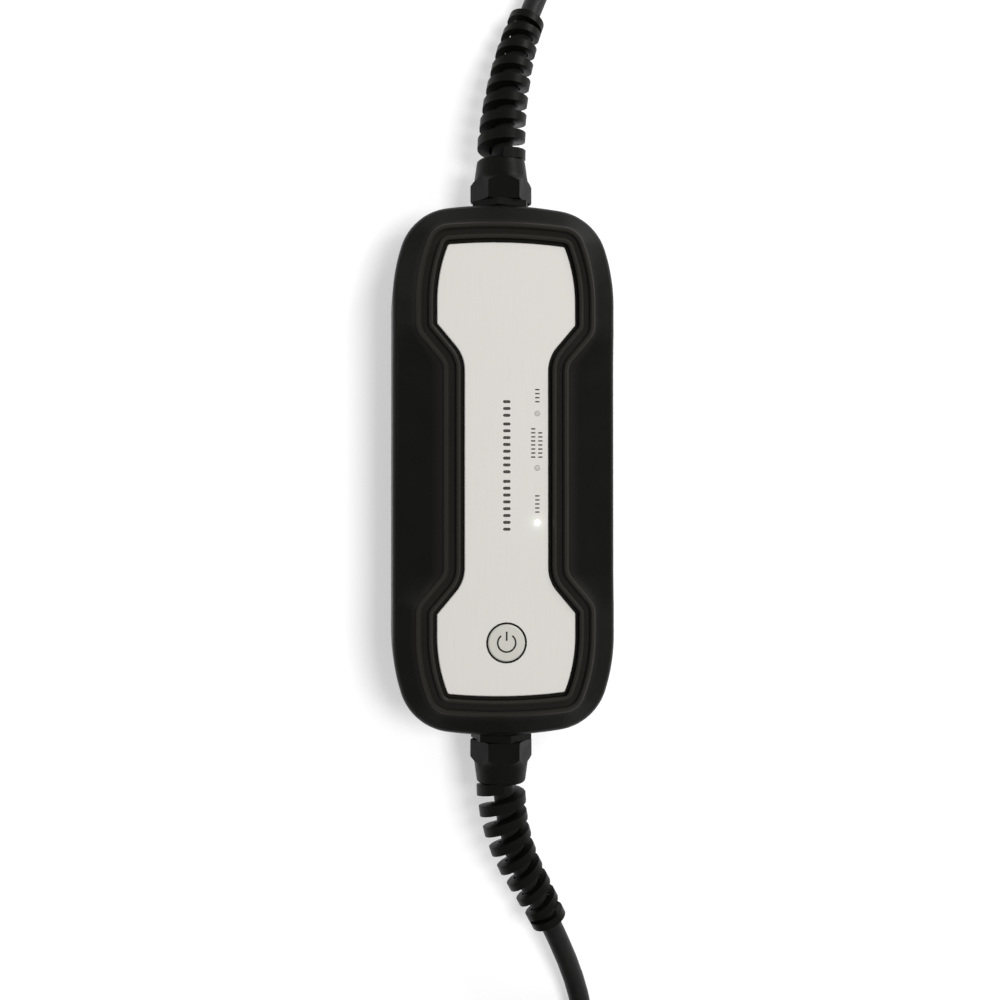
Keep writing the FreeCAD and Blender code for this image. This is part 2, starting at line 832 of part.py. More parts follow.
def make_face_plate():
    bevel, top = float(s.plate_bevel), float(PLATE_TOP)
    blank = feature("face_plate_blank", slab(
        plate_quarter, (0.0, s.plate_seat), (0.0, top - bevel), (-bevel, top),
    ))
    holes = [
        cylinder(f"plate_light_hole_{i}", s.light_radius + s.fit_clearance, OVER * 2, x, y,
                 s.plate_seat - OVER)
        for i, (x, y) in enumerate(light_places())
    ]
    holes.append(cylinder("plate_button_hole", s.button_hole_radius, OVER * 2, 0, BUTTON_ALONG,
                          s.plate_seat - OVER))
    node("face_plate", cut("face_plate_solid", blank, *holes))


def make_button():
    top = PLATE_TOP + s.button_proud
    node("mode_button", turned("mode_button_body", [
        (0, PLUNGER_TOP), (s.button_stem_radius, PLUNGER_TOP),
        (s.button_stem_radius, BUTTON_FLANGE_LEVEL), (s.button_flange_radius, BUTTON_FLANGE_LEVEL),
        (s.button_flange_radius, BUTTON_FLANGE_TOP), (s.button_radius, BUTTON_FLANGE_TOP),
        (s.button_radius, top - s.button_bevel), (s.button_radius - s.button_bevel, top - s.button_crown),
        (s.button_radius / 2, top), (0, top),
    ], 0, BUTTON_ALONG, 0))
    inside = s.button_radius + s.button_clearance
    outside = s.button_hole_radius - s.gasket_clearance
    node("button_seal", turned("button_seal_ring", [
        (inside, ROOF_UNDER), (outside, ROOF_UNDER), (outside, PLATE_TOP + s.seal_proud),
        (inside, PLATE_TOP + s.seal_proud),
    ], 0, BUTTON_ALONG, 0))


def make_lights():
    names = ("power_light_pipe", "current_light_pipe", "fault_light_pipe")
    for name, (x, y) in zip(names, light_places()):
        low = ROOF_UNDER - s.light_flange_height
        node(name, turned(name + "_body", [
            (0, low), (s.light_flange_radius, low), (s.light_flange_radius, ROOF_UNDER),
            (s.light_radius, ROOF_UNDER), (s.light_radius, PLATE_TOP),
            (s.light_radius * 0.8, PLATE_TOP + s.light_proud), (0, PLATE_TOP + s.light_proud),
        ], x, y, 0))
    lamp_top = ROOF_UNDER - s.light_flange_height - s.lamp_gap
    foot = s.lamp_radius + s.lamp_foot
    node("indicator_lamps", group("indicator_lamp_group", *[
        turned(f"indicator_lamp_{i}", [
            (0, FRONT_BOARD_TOP), (foot, FRONT_BOARD_TOP), (foot, FRONT_BOARD_TOP + s.lamp_foot_height),
            (s.lamp_radius, FRONT_BOARD_TOP + s.lamp_foot_height), (s.lamp_radius, lamp_top - s.lamp_dome),
            (s.lamp_tip_radius, lamp_top - s.lamp_tip), (0, lamp_top),
        ], x, y, 0)
        for i, (x, y) in enumerate(light_places())
    ]))


def make_front_board():
    holes = [
        (s.front_screw_radius + s.hole_clearance, x, y - s.front_board_along) for x, y in front_post_places()
    ]
    node("indicator_board", padded(
        "indicator_board_body", rectangle(s.front_board_width, s.front_board_length), s.board_thickness,
        holes, 0, s.front_board_along, s.front_board_level,
    ))
    node("indicator_board_screws", group("indicator_screw_group", *[
        screw(f"indicator_screw_{i}", s.front_screw_radius, s.front_screw_length, s.front_screw_head_radius,
              s.front_screw_head_height, s.front_screw_recess, x, y, s.front_board_level)
        for i, (x, y) in enumerate(front_post_places())
    ]))
    case = box("switch_case", s.switch_size, s.switch_size, s.switch_height, 0, BUTTON_ALONG, FRONT_BOARD_TOP)
    bore = cylinder("switch_bore", s.plunger_radius + s.plunger_clearance, PLUNGER_BORE + OVER,
                    0, BUTTON_ALONG, SWITCH_TOP - PLUNGER_BORE)
    node("mode_switch", cut("mode_switch_case", case, bore))
    node("switch_plunger", cylinder("switch_plunger_rod", s.plunger_radius, s.plunger_out + s.plunger_in, 0,
                                    BUTTON_ALONG, SWITCH_TOP - s.plunger_in))


def part_box(name, width, length, height, x, y, bevel=s.case_bevel):
    """A moulded block on the power board, with bevelled upper edges."""
    block = box(name + "_block", width, length, height, x, y, BOARD_TOP)
    doc.recompute()
    top = [
        i + 1 for i, edge in enumerate(block.Shape.Edges)
        if edge.BoundBox.ZMin > float(BOARD_TOP) + float(height) - 1e-6
    ]
    item = doc.addObject("Part::Chamfer", name)
    item.Base = block
    item.Edges = [(i, float(bevel), float(bevel)) for i in top]
    return item


def make_power_board():
    holes = [(s.board_screw_radius + s.hole_clearance, x, y) for x, y in board_post_places()]
    node("power_board", padded("power_board_body", rectangle(BOARD_WIDTH, s.board_length),
                               s.board_thickness, holes, 0, 0, s.board_level))
    upside_down = Rotation(Vector(1, 0, 0), 180)
    node("power_board_screws", group("power_screw_group", *[
        screw(f"power_screw_{i}", s.board_screw_radius, s.board_screw_length, s.board_screw_head_radius,
              s.front_screw_head_height, s.front_screw_recess, x, y, BOARD_TOP, upside_down)
        for i, (x, y) in enumerate(board_post_places())
    ]))
    across = s.front_board_width / 2 + s.relay_gap + s.relay_width / 2
    along = s.terminal_along - s.terminal_length / 2 - s.relay_from_terminal - s.relay_length / 2
    for name, side in (("live_relay", 1), ("neutral_relay", -1)):
        node(name, part_box(name + "_case", s.relay_width, s.relay_length, s.relay_height,
                            across * side, along))
    node("leakage_sensor", turned("leakage_sensor_ring", [
        (s.sensor_bore, 0), (s.sensor_radius, 0), (s.sensor_radius, s.sensor_width),
        (s.sensor_bore, s.sensor_width),
    ], 0, s.sensor_along - s.sensor_width / 2, BOARD_TOP + s.sensor_radius, ALONG_Y))
    node("supply_module", part_box("supply_module_case", s.supply_width, s.supply_length, s.supply_height,
                                   s.supply_across, s.supply_along))
    node("filter_capacitor", part_box("filter_capacitor_case", s.film_width, s.film_length, s.film_height,
                                      s.film_across, s.film_along))
    node("filter_choke", part_box("filter_choke_case", s.choke_width, s.choke_length, s.choke_height,
                                  s.choke_across, s.choke_along))
    node("smoothing_capacitors", group("smoothing_capacitor_group", *[
        turned(f"smoothing_capacitor_{i}", [
            (0, 0), (s.can_radius, 0), (s.can_radius, s.can_height - s.can_bevel),
            (s.can_radius - s.can_bevel, s.can_height), (0, s.can_height),
        ], s.can_across, s.can_along - s.can_pitch * i, BOARD_TOP)
        for i in range(2)
    ]))
    node("surge_absorbers", group("surge_absorber_group", *[
        part_box(f"surge_absorber_{i}", s.surge_width, s.surge_length, s.surge_height,
                 s.surge_across + s.surge_pitch * i, s.surge_along)
        for i in range(3)
    ]))
    node("board_fuse", part_box("board_fuse_case", s.fuse_width, s.fuse_length, s.fuse_height,
                                s.fuse_across, s.fuse_along))
    node("control_chips", group("control_chip_group", part_box(
        "main_chip", s.chip_size, s.chip_size, s.chip_height, s.chip_across, s.chip_along, s.chip_bevel), *[
        part_box(f"driver_chip_{i}", s.driver_width, s.driver_length, s.chip_height,
                 s.driver_across, s.driver_along - s.driver_pitch * i, s.chip_bevel)
        for i in range(2)
    ]))


def make_terminals():
    for name, sign in (("mains_terminal", 1), ("vehicle_terminal", -1)):
        along = s.terminal_along * sign
        block = part_box(name + "_block", s.terminal_width, s.terminal_length, s.terminal_height, 0, along)
        holes = []
        for i, offset in enumerate((-1.5, -0.5, 0.5, 1.5)):
            across = s.terminal_pitch * offset
            holes.append(cylinder(f"{name}_screw_hole_{i}", s.terminal_screw_radius + s.fit_clearance, OVER,
                                  across, along, SCREW_SEAT))
            holes.append(cylinder(f"{name}_mouth_{i}", s.terminal_bore, s.terminal_mouth + OVER, across,
                                  along + (s.terminal_length / 2 - s.terminal_mouth) * sign,
                                  BOARD_TOP + s.terminal_bore_level, ALONG_Y if sign > 0 else AGAINST_Y))
        node(name, cut(name + "_solid", block, *holes))
    node("terminal_screws", group("terminal_screw_group", *[
        cylinder(f"terminal_screw_{end}_{i}", s.terminal_screw_radius, s.terminal_screw_height,
                 s.terminal_pitch * offset, s.terminal_along * sign, SCREW_SEAT)
        for end, sign in (("mains", 1), ("vehicle", -1)) for i, offset in enumerate((-1.5, -0.5, 0.5, 1.5))
    ]))


def route_wire(points, bends=None):
    """Straight runs joined by tangent arcs, as large as the shorter run beside each allows."""
    points = [Vector(*p) for p in points]
    radii, edges, at = [], [], points[0]
    for before, here, after in zip(points, points[1:], points[2:]):
        back, on = before - here, after - here
        turn = math.pi - back.getAngle(on)
        reach = 0.45 * min(back.Length, on.Length)
        radii.append(reach / math.tan(turn / 2))
        if bends:
            radii[-1] = bends
            reach = bends * math.tan(turn / 2)
        back.normalize()
        on.normalize()
        start, end = here + back * reach, here + on * reach
        middle_way = (back + on).normalize()
        middle = here + middle_way * (radii[-1] / math.cos(turn / 2) - radii[-1])
        edges.append(Part.LineSegment(at, start).toShape())
        edges.append(Part.Arc(start, middle, end).toShape())
        at = end
    edges.append(Part.LineSegment(at, points[-1]).toShape())
    return Part.Wire(edges), radii


def tube(name, points, radius, bends=None):
    """A round tube along a route. It prints the bends' radii and compares its volume with its length."""
    wire, radii = route_wire(points, bends)
    first = wire.Edges[0]
    start = first.valueAt(first.FirstParameter)
    circle = Part.Circle(start, first.tangentAt(first.FirstParameter), float(radius)).toShape()
    solid = wire.makePipeShell([Part.Wire([circle])], True, False)
    share = solid.Volume / (math.pi * float(radius) ** 2 * wire.Length)
    if not 0.97 < share < 1.03:
        raise ValueError(f"{name}: the tube's volume is {share:.3f} of its section times its length")
    print(name, f"length {wire.Length:.1f}", "radii", [round(r, 1) for r in radii])
    return solid


def make_wires():
    """The cords' cores, from each gland to its terminal block, and the links through the sensor."""
    names = ("live_wires", "neutral_wires", "earth_wires", "pilot_wire")
    made = {name: [] for name in names}
    low = float(BOARD_TOP + s.terminal_bore_level)
    level, pitch, core = float(s.gland_level), float(s.terminal_pitch), float(s.core_radius)
    start = float(CORD_START)
    mouth = float(s.terminal_along + s.terminal_length / 2 - s.terminal_mouth)
    spread = float(s.core_spread)
    room = (start - mouth) / float(s.core_straight + s.core_slope + s.core_run)
    straight, run = float(s.core_straight) * room, float(s.core_run) * room
    fan = [(-spread, spread), (-spread, -spread), (spread, -spread), (spread, spread)]
    for sign in (1, -1):
        for i, name in enumerate(names[:3] if sign > 0 else names):
            dx, dz = fan[i]
            across = pitch * (i - 1.5)
            points = [
                (dx, sign * start, level + dz), (dx, sign * (start - straight), level + dz),
                (across, sign * (mouth + run), low), (across, sign * mouth, low),
            ]
            made[name].append(feature(f"{name}_{'mains' if sign > 0 else 'vehicle'}",
                                      tube(name, points, core, float(s.core_bend))))
    top = float(BOARD_TOP)
    middle = float(s.sensor_along)
    reach, bend = float(s.link_reach), float(s.link_bend)
    for name, side in (("live_wires", -1), ("neutral_wires", 1)):
        x = side * float(s.link_across)
        high = top + float(s.sensor_radius)
        points = [(x, middle - reach, top), (x, middle - reach, high), (x, middle + reach, high),
                  (x, middle + reach, top)]
        made[name].append(feature(name + "_link", tube(name + "_link", points, float(s.link_radius), bend)))
    for name, items in made.items():
        node(name, group(name + "_group", *items) if len(items) > 1 else items[0])


def make_ribbon_cable():
    """A flat cable that bows between the two boards."""
    low, high = float(BOARD_TOP), float(s.front_board_level)
    x, y, bow = float(s.ribbon_across), float(s.ribbon_along), float(s.ribbon_bow)
    quarter = (high - low) / 4
    points = [(x, y, low), (x, y, low + quarter), (x + bow, y, low + 2 * quarter), (x, y, high - quarter),
              (x, y, high)]
    wire, _ = route_wire(points)
    half_wide, half_thick = float(s.flat_cable_width) / 2, float(s.ribbon_thickness) / 2
    corners = [(-half_thick, -half_wide), (half_thick, -half_wide), (half_thick, half_wide),
               (-half_thick, half_wide)]
    section = Part.makePolygon([Vector(x + dx, y + dy, low) for dx, dy in corners + corners[:1]])
    strip = wire.makePipeShell([section], True, False)
    node("ribbon_cable", feature("ribbon_cable_strip", strip))


# The cords' routes: points chosen by hand. The mains lead is short, as such a box hangs close to its
# plug. The vehicle cord goes to its wound-up length, and its tail from there to the connector.
def outwards(sign, *stops):
    """A route's points, from how far each lies out of the gland's seat at one end of the box."""
    return [(x, sign * (float(GLAND_SEAT) + out), z) for x, out, z in stops]


GLAND_AXIS = float(s.gland_level)
MAINS_ROUTE = outwards(
    1, (0.0, -float(s.cord_inset), GLAND_AXIS), (0.0, 40.2, GLAND_AXIS), (8.0, 80.2, 18.5),
    (24.0, 118.2, 8.5), (30.0, 146.2, 4.75), (30.0, 172.2, 8.5), (26.5, 197.2, 18.5), (24.5, 222.2, 18.5),
)
VEHICLE_ROUTE = outwards(
    -1, (0.0, -float(s.cord_inset), GLAND_AXIS), (0.0, 46.2, GLAND_AXIS), (24.0, 90.2, 18.0),
    (39.5, 128.2, 7.5), (42.25, 160.2, 4.75), (42.25, 188.2, 5.95),
)
VEHICLE_TAIL = outwards(
    -1, (42.25, 268.2, 15.45), (42.25, 292.2, 15.45), (33.0, 314.2, 20.0), (22.0, 334.2, 25.0),
    (19.0, 355.2, 25.0),
)


def stadium(half_width, straight, low, height):
    """A block with round ends, its straight sides along Y."""
    ends = [(half_width, 0), (0, half_width), (-half_width, 0)]
    top = [Vector(x, y + straight / 2, low) for x, y in ends]
    bottom = [Vector(-x, -y - straight / 2, low) for x, y in ends]
    edges = [Part.Arc(*top), Part.LineSegment(top[-1], bottom[0]), Part.Arc(*bottom),
             Part.LineSegment(bottom[-1], top[0])]
    wire = Part.Wire([edge.toShape() for edge in edges])
    return Part.Face(wire).extrude(Vector(0, 0, height))


def wound(radius, straight, wide, high, x, y):
    """The closed outer form of a cord wound into a hank with round ends, standing on its ties."""
    thick = float(s.cord_radius) * 2
    base, height = float(s.tie_thickness), thick * high
    outside = stadium(float(radius) + thick * wide / 2, float(straight), base, height)
    inside = stadium(float(radius) - thick * wide / 2, float(straight), base - OVER, height + 2 * OVER)
    solid = outside.cut(inside)
    rims = [e for e in solid.Edges if e.BoundBox.ZLength < 1e-6]
    solid = solid.makeFillet(float(s.cord_radius) * 0.9, rims)
    solid.translate(Vector(float(x), float(y), 0))
    return solid


def tie(name, side, wide, high):
    """A flat band around one side of the hank."""
    thick, deep = float(s.cord_radius) * 2, float(s.tie_width)
    gap, band = float(s.tie_clearance), float(s.tie_thickness)
    width, height = thick * wide + 2 * gap, thick * high + gap

    def loop(grow, depth):
        block = Part.makeBox(width + 2 * grow, depth, height + 2 * grow,
                             Vector(-width / 2 - grow, -depth / 2, band - grow))
        along = [e for e in block.Edges if abs(e.tangentAt(e.FirstParameter).y) > 0.9]
        return block.makeFillet(band + grow, along)

    band_solid = loop(band, deep).cut(loop(0.0, deep * 2))
    band_solid.translate(Vector(float(s.coil_across + s.coil_radius * side), float(COIL_ALONG), 0))
    return feature(name, band_solid)


def make_cords():
    radius, wide, high = float(s.cord_radius), 2, 6
    node("mains_cord", feature("mains_cord_tube", tube("mains_cord", MAINS_ROUTE, radius)))
    node("vehicle_cord", feature("vehicle_cord_tube", tube("vehicle_cord", VEHICLE_ROUTE, radius)))
    node("vehicle_cord_tail", feature("vehicle_tail_tube", tube("vehicle_cord_tail", VEHICLE_TAIL, radius)))
    node("vehicle_cord_coil", feature("vehicle_coil_body", wound(
        s.coil_radius, s.coil_straight, wide, high, s.coil_across, COIL_ALONG)))
    node("vehicle_coil_ties", group("vehicle_coil_tie_pair", *[
        tie(name, side, wide, high) for name, side in (("right_tie", 1), ("left_tie", -1))
    ]))


def along_route(points, bends=None):
    """Evenly spaced places on a route, with the direction at each."""
    wire, _ = route_wire(points, bends)
    count = int(wire.Length * 4)
    places = wire.discretize(Number=count)
    step = wire.Length / (count - 1)

    def at(distance):
        i = max(1, min(count - 2, int(distance / step)))
        here = places[i] + (places[i + 1] - places[i]) * (distance / step - i)
        return here, (places[i + 1] - places[i - 1]).normalize()

    return at


def spiral(points, first):
    """A tapered ribbon that winds around a cord's route, and the collar at its far end."""
    at = along_route(points)
    length, pitch = float(s.spiral_length), float(s.spiral_pitch)
    inside = float(s.cord_radius) + float(s.spiral_clearance)
    root = inside + float(s.ribbon_inset)
    tip_radius = float(s.spiral_tip_radius)
    steps = int(length / pitch * float(s.ribbon_facets))

    def corners(share):
        """The ribbon's four corners at this share of its length: two on the crest, two at the root."""
        radius = float(s.spiral_radius) + (tip_radius - float(s.spiral_radius)) * share
        half = (float(s.ribbon_width) + float(s.ribbon_tip_width - s.ribbon_width) * share) / 2
        angle = 2 * math.pi * length * share / pitch
        places = []
        for reach, side in ((radius, -float(s.ribbon_crest)), (radius, float(s.ribbon_crest)),
                            (root, 1.0), (root, -1.0)):
            centre, way = at(first + length * share + side * half)
            up = (Vector(0, 0, 1) - way * way.z).normalize()
            aside = way.cross(Vector(0, 0, 1)).normalize()
            places.append(centre + (up * math.cos(angle) + aside * math.sin(angle)) * reach)
        return places

    def triangle(*trio):
        return Part.Face(Part.makePolygon([*trio, trio[0]]))

    sections = [corners(i / steps) for i in range(steps + 1)]
    faces = []
    for here, onward in zip(sections, sections[1:]):
        for k in range(4):
            n = (k + 1) % 4
            faces += [triangle(here[k], here[n], onward[n]), triangle(here[k], onward[n], onward[k])]
    for end in (sections[0], sections[-1]):
        faces += [triangle(end[0], end[1], end[2]), triangle(end[0], end[2], end[3])]
    ribbon = Part.Solid(Part.makeShell(faces))
    if ribbon.Volume < 0:
        ribbon.reverse()
    centre, way = at(first + length - float(s.spiral_collar) / 4)
    collar = Part.makeCylinder(tip_radius, float(s.spiral_collar), centre, way).cut(
        Part.makeCylinder(inside, float(s.spiral_collar) + OVER, centre - way * OVER / 2, way))
    return ribbon, collar


def make_gland(end, sign, points):
    """One cable gland. Its own Z runs outwards from the middle of the box."""
    turn = ALONG_Y if sign > 0 else AGAINST_Y
    level = s.gland_level

    def out(maker, name, radius, height, distance, *more):
        return maker(f"{end}_{name}", radius, height, *more, 0, distance * sign, level, turn)

    bore = s.clamp_bore
    thread = turned(f"{end}_thread", [
        (bore, THREAD_END), (s.thread_radius, THREAD_END), (s.thread_radius, FLANGE_LEVEL + s.thread_lap),
        (s.clamp_radius, FLANGE_LEVEL + s.thread_lap), (s.clamp_radius, CLAMP_END - s.clamp_edge),
        (s.clamp_radius - s.clamp_edge, CLAMP_END), (bore, CLAMP_END),
    ], 0, 0, level, turn)
    flange = prism(f"{end}_flange", HEX_CORNERS, s.flange_thickness, 0, FLANGE_LEVEL * sign, level,
                   turn * Rotation(Vector(0, 0, 1), float(s.flange_turn)))
    flange = cut(f"{end}_flange_ring", flange, cylinder(
        f"{end}_flange_bore", bore, OVER * 3, 0, (FLANGE_LEVEL - OVER) * sign, level, turn))
    node(f"{end}_gland_body", join(f"{end}_gland_body_solid", thread, flange))
    node(f"{end}_gland_washer", turned(f"{end}_gland_washer_ring", [
        (s.thread_radius + s.gasket_clearance, GLAND_SEAT), (s.washer_radius, GLAND_SEAT),
        (s.washer_radius, FLANGE_LEVEL), (s.thread_radius + s.gasket_clearance, FLANGE_LEVEL),
    ], 0, 0, level, turn))
    lock = prism(f"{end}_locknut_hexagon", LOCKNUT_CORNERS, s.locknut_thickness,
                 0, (PAD_LEVEL - s.locknut_thickness) * sign, level, turn)
    node(f"{end}_locknut", cut(f"{end}_locknut_solid", lock, cylinder(
        f"{end}_locknut_bore", s.thread_radius + s.gasket_clearance, OVER * 3,
        0, (PAD_LEVEL - OVER * 2) * sign, level, turn)))
    seal_end = CLAMP_END - s.seal_depth
    node(f"{end}_gland_seal", turned(f"{end}_gland_seal_ring", [
        (s.cord_radius + s.gasket_clearance, seal_end - s.seal_length),
        (bore - s.gasket_clearance, seal_end - s.seal_length),
        (bore - s.gasket_clearance, seal_end), (s.cord_radius + s.gasket_clearance, seal_end),
    ], 0, 0, level, turn))

    hexagon = prism(f"{end}_nut_hexagon", HEX_CORNERS, s.nut_hexagon + s.nut_shoulder,
                    0, NUT_LEVEL * sign, level, turn)
    envelope = turned(f"{end}_nut_envelope", [
        (0, NUT_LEVEL), (HEX_CORNERS - s.nut_edge / 2, NUT_LEVEL), (HEX_CORNERS, NUT_LEVEL + s.nut_edge),
        (HEX_CORNERS, NUT_LEVEL + s.nut_hexagon), (s.nut_cone_radius, SHOULDER_END), (0, SHOULDER_END),
    ], 0, 0, level, turn)
    head = overlap(f"{end}_nut_head", hexagon, envelope)
    tip = turned(f"{end}_nut_tip", [
        (0, NUT_LEVEL + s.nut_hexagon), (s.nut_cone_radius - s.nut_edge, NUT_LEVEL + s.nut_hexagon),
        (s.nut_cone_radius, SHOULDER_END), (s.nut_tip_radius, NUT_END - s.nut_edge),
        (s.nut_tip_radius - s.nut_edge, NUT_END), (0, NUT_END),
    ], 0, 0, level, turn)
    wide, narrow = s.clamp_radius + s.nut_clearance, s.cord_radius + s.spiral_clearance
    hollow = turned(f"{end}_nut_hollow", [
        (0, NUT_LEVEL - OVER), (wide, NUT_LEVEL - OVER), (wide, CLAMP_END + s.nut_end_gap),
        (narrow, CLAMP_END + s.nut_end_gap + s.nut_taper), (narrow, NUT_END + OVER), (0, NUT_END + OVER),
    ], 0, 0, level, turn)
    nut = cut(f"{end}_nut_bored", join(f"{end}_nut_outside", head, tip), hollow)
    first = float(NUT_END - CORD_START) + float(s.ribbon_width) / 2 - float(s.spiral_root)
    ribbon, collar = spiral(points, first)
    node(f"{end}_gland_nut", join(f"{end}_gland_nut_solid", nut, feature(f"{end}_ribbon", ribbon),
                                  feature(f"{end}_collar", collar)))


def facing(points):
    """A placement at a route's last point, with its own Z along the route's last run."""
    end, before = Vector(*points[-1]), Vector(*points[-2])
    way = end - before
    way.z = 0
    angle = math.degrees(math.atan2(way.y, way.x))
    turn = Rotation(Vector(0, 0, 1), angle) * Rotation(Vector(0, 1, 0), 90)
    return FreeCAD.Placement(end, turn)


def seated(item, placement):
    for axis in "xyz":
        item.setExpression(f"Placement.Base.{axis}", None)
    item.Placement = placement
    return item


def ribbed(start, end, low, high, depth, count):
    """Corners of a cone with this many equal ribs and grooves, from one height and radius to the next."""
    corners = []
    for i in range(count):
        for share, reach in ((0.0, 0), (0.6, 0), (0.6, -depth), (1.0, -depth)):
            part = (i + share) / count
            corners.append((low + (high - low) * part + reach, start + (end - start) * part))
    return corners + [(high, end)]


def make_plug():
    """A round two-pin plug whose own Z runs from the cord to the pins."""
    here = facing(MAINS_ROUTE)
    shoulder = s.plug_relief_length + s.plug_grip_length
    total = shoulder + s.plug_face_length
    clip_at = s.plug_radius - s.earth_clip_depth
    body = turned("plug_moulding", [
        (0, 0), *ribbed(Size(0), s.plug_relief_length, s.cord_radius + s.plug_relief_wall,
                        s.plug_relief_radius, s.plug_relief_groove, 4),
        *ribbed(s.plug_relief_length + s.plug_neck, shoulder, s.plug_grip_radius,
                s.plug_grip_radius + s.plug_grip_flare, s.plug_grip_groove, 5),
        (s.plug_radius, shoulder + s.plug_flare_length), (s.plug_radius, total - s.plug_edge),
        (s.plug_radius - s.plug_edge, total), (0, total),
    ])
    slots = [
        box(f"plug_{name}_slot", s.earth_clip_depth, s.earth_clip_width + s.earth_clip_gap * 2,
            s.plug_face_length, (clip_at + s.earth_clip_depth / 2 + s.earth_clip_gap) * side, 0,
            shoulder + s.plug_flare_length)
        for name, side in (("right", 1), ("left", -1))
    ]
    node("plug_body", seated(cut("plug_body_solid", body, *slots), here))
    node("plug_pins", seated(group("plug_pin_pair", *[
        turned(f"plug_{name}_pin", [
            (0, 0), (s.pin_radius, 0), (s.pin_radius, s.pin_length - s.pin_bevel),
            (s.pin_radius - s.pin_bevel, s.pin_length), (0, s.pin_length),
        ], 0, s.pin_pitch / 2 * side, total)
        for name, side in (("upper", 1), ("lower", -1))
    ]), here))
    node("plug_earth_clips", seated(group("plug_earth_clip_pair", *[
        box(f"plug_{name}_clip", s.earth_clip_thickness, s.earth_clip_width,
            s.plug_face_length - s.plug_flare_length - s.plug_edge,
            (clip_at + s.earth_clip_gap + s.earth_clip_thickness / 2) * side, 0,
            shoulder + s.plug_flare_length)
        for name, side in (("right", 1), ("left", -1))
    ]), here))


def flat_topped(radius, flat, grow, level):
    """A circle with a flat across its +X side, moved outwards by grow."""
    r, f = float(radius) + grow, float(flat) + grow
    half = math.sqrt(r * r - f * f)
    line = Part.LineSegment(Vector(f, -half, level), Vector(f, half, level)).toShape()
    curve = Part.Arc(Vector(f, half, level), Vector(-r, 0, level), Vector(f, -half, level)).toShape()
    return Part.Wire([line, curve])


def contact_places():
    """Earth, live, neutral and the two signal contacts, and last the two empty places of a one-phase cord."""
    big, small = (s.contact_radius, s.contact_bore), (s.signal_radius, s.signal_bore)
    row, side = s.contact_row, s.contact_side
    return [
        (*big, Size(0), Size(0)), (*big, Size(0), s.contact_pitch), (*big, Size(0), -s.contact_pitch),
        (*small, s.signal_row, s.signal_side), (*small, s.signal_row, -s.signal_side),
        (*big, -row, side), (*big, -row, -side),
    ]


def make_connector():
    """The vehicle connector, whose own Z runs from the cord to its open nose."""
    here = facing(VEHICLE_TAIL)
    relief, nose, front = float(s.relief_length), float(s.nose_length), float(FRONT)
    edge, tip = float(s.nose_step), float(s.nose_edge)
    outside = Part.makeLoft([
        flat_topped(s.nose_radius, s.nose_flat, -edge, front),
        flat_topped(s.nose_radius, s.nose_flat, 0.0, front + edge),
        flat_topped(s.nose_radius, s.nose_flat, 0.0, front + nose - tip),
        flat_topped(s.nose_radius, s.nose_flat, -tip, front + nose),
    ], True, True)
    wall, deep, inset = float(s.nose_wall), front + nose - float(s.nose_depth), float(s.block_inset)
    hollow = Part.makeLoft([
        flat_topped(s.nose_radius, s.nose_flat, -wall, deep),
        flat_topped(s.nose_radius, s.nose_flat, -wall, front + nose + OVER),
    ], True, True)
    block = Part.makeLoft([
        flat_topped(s.block_radius, s.block_flat, 0.0, deep - BEFORE),
        flat_topped(s.block_radius, s.block_flat, 0.0, front + nose - inset - tip),
        flat_topped(s.block_radius, s.block_flat, -tip, front + nose - inset),
    ], True, True)
    shell = feature("connector_nose_outside", outside.cut(hollow).fuse(block))
    lock = box("connector_lock_notch", s.notch_depth * 2, s.notch_width, s.notch_length,
               -s.nose_radius, 0, FRONT + s.notch_inset)
    mouth = FRONT + s.nose_length - s.block_inset - s.contact_depth
    bores = [
        cylinder(f"connector_contact_hole_{i}", radius + s.gasket_clearance, s.contact_depth + OVER, x, y,
                 mouth)
        for i, (radius, _, x, y) in enumerate(contact_places())
    ]
    node("connector_nose", seated(cut("connector_nose_solid", shell, lock, *bores), here))
    node("connector_contacts", seated(group("connector_contact_group", *[
        cut(f"connector_contact_{i}",
            cylinder(f"connector_contact_rod_{i}", radius, s.contact_depth - s.contact_sink, x, y, mouth),
            cylinder(f"connector_contact_bore_{i}", bore, s.contact_depth, x, y, mouth + s.contact_floor))
        for i, (radius, bore, x, y) in enumerate(contact_places()[:5])
    ]), here))

    start = s.relief_length + s.handle_groove_start
    end = start + s.handle_groove_length
    grooves = round(float(s.handle_groove_length / s.handle_groove_pitch))
    grip = turned("connector_grip", [
        (0, s.relief_length), (s.handle_neck_radius, s.relief_length),
        *[(s.handle_neck_radius + (s.handle_radius - s.handle_neck_radius) * rise,
           s.relief_length + s.handle_groove_start * share) for share, rise in ((0.3, 0.55), (0.65, 0.9))],
        *ribbed(start, end, s.handle_radius, s.handle_radius, s.handle_groove_depth, grooves),
        *[(s.handle_radius + (HANDLE_END - s.handle_radius) * rise, end + (FRONT - end) * share)
          for share, rise in ((0.25, 0.1), (0.5, 0.36), (0.75, 0.72), (1.0, 1.0))],
        (0, FRONT),
    ])
    limit = feature("connector_grip_limit", Part.makeLoft([
        flat_topped(s.nose_radius, s.nose_flat, 0.0, relief - BEFORE),
        flat_topped(s.nose_radius, s.nose_flat, -edge, front),
    ], True, True))
    node("connector_handle", seated(overlap("connector_handle_grip", grip, limit), here))
    node("connector_relief", seated(turned("connector_relief_sleeve", [
        (0, 0), *ribbed(Size(0), s.relief_length, s.cord_radius + s.relief_wall, s.relief_radius,
                        s.relief_groove, 6), (0, s.relief_length),
    ]), here))


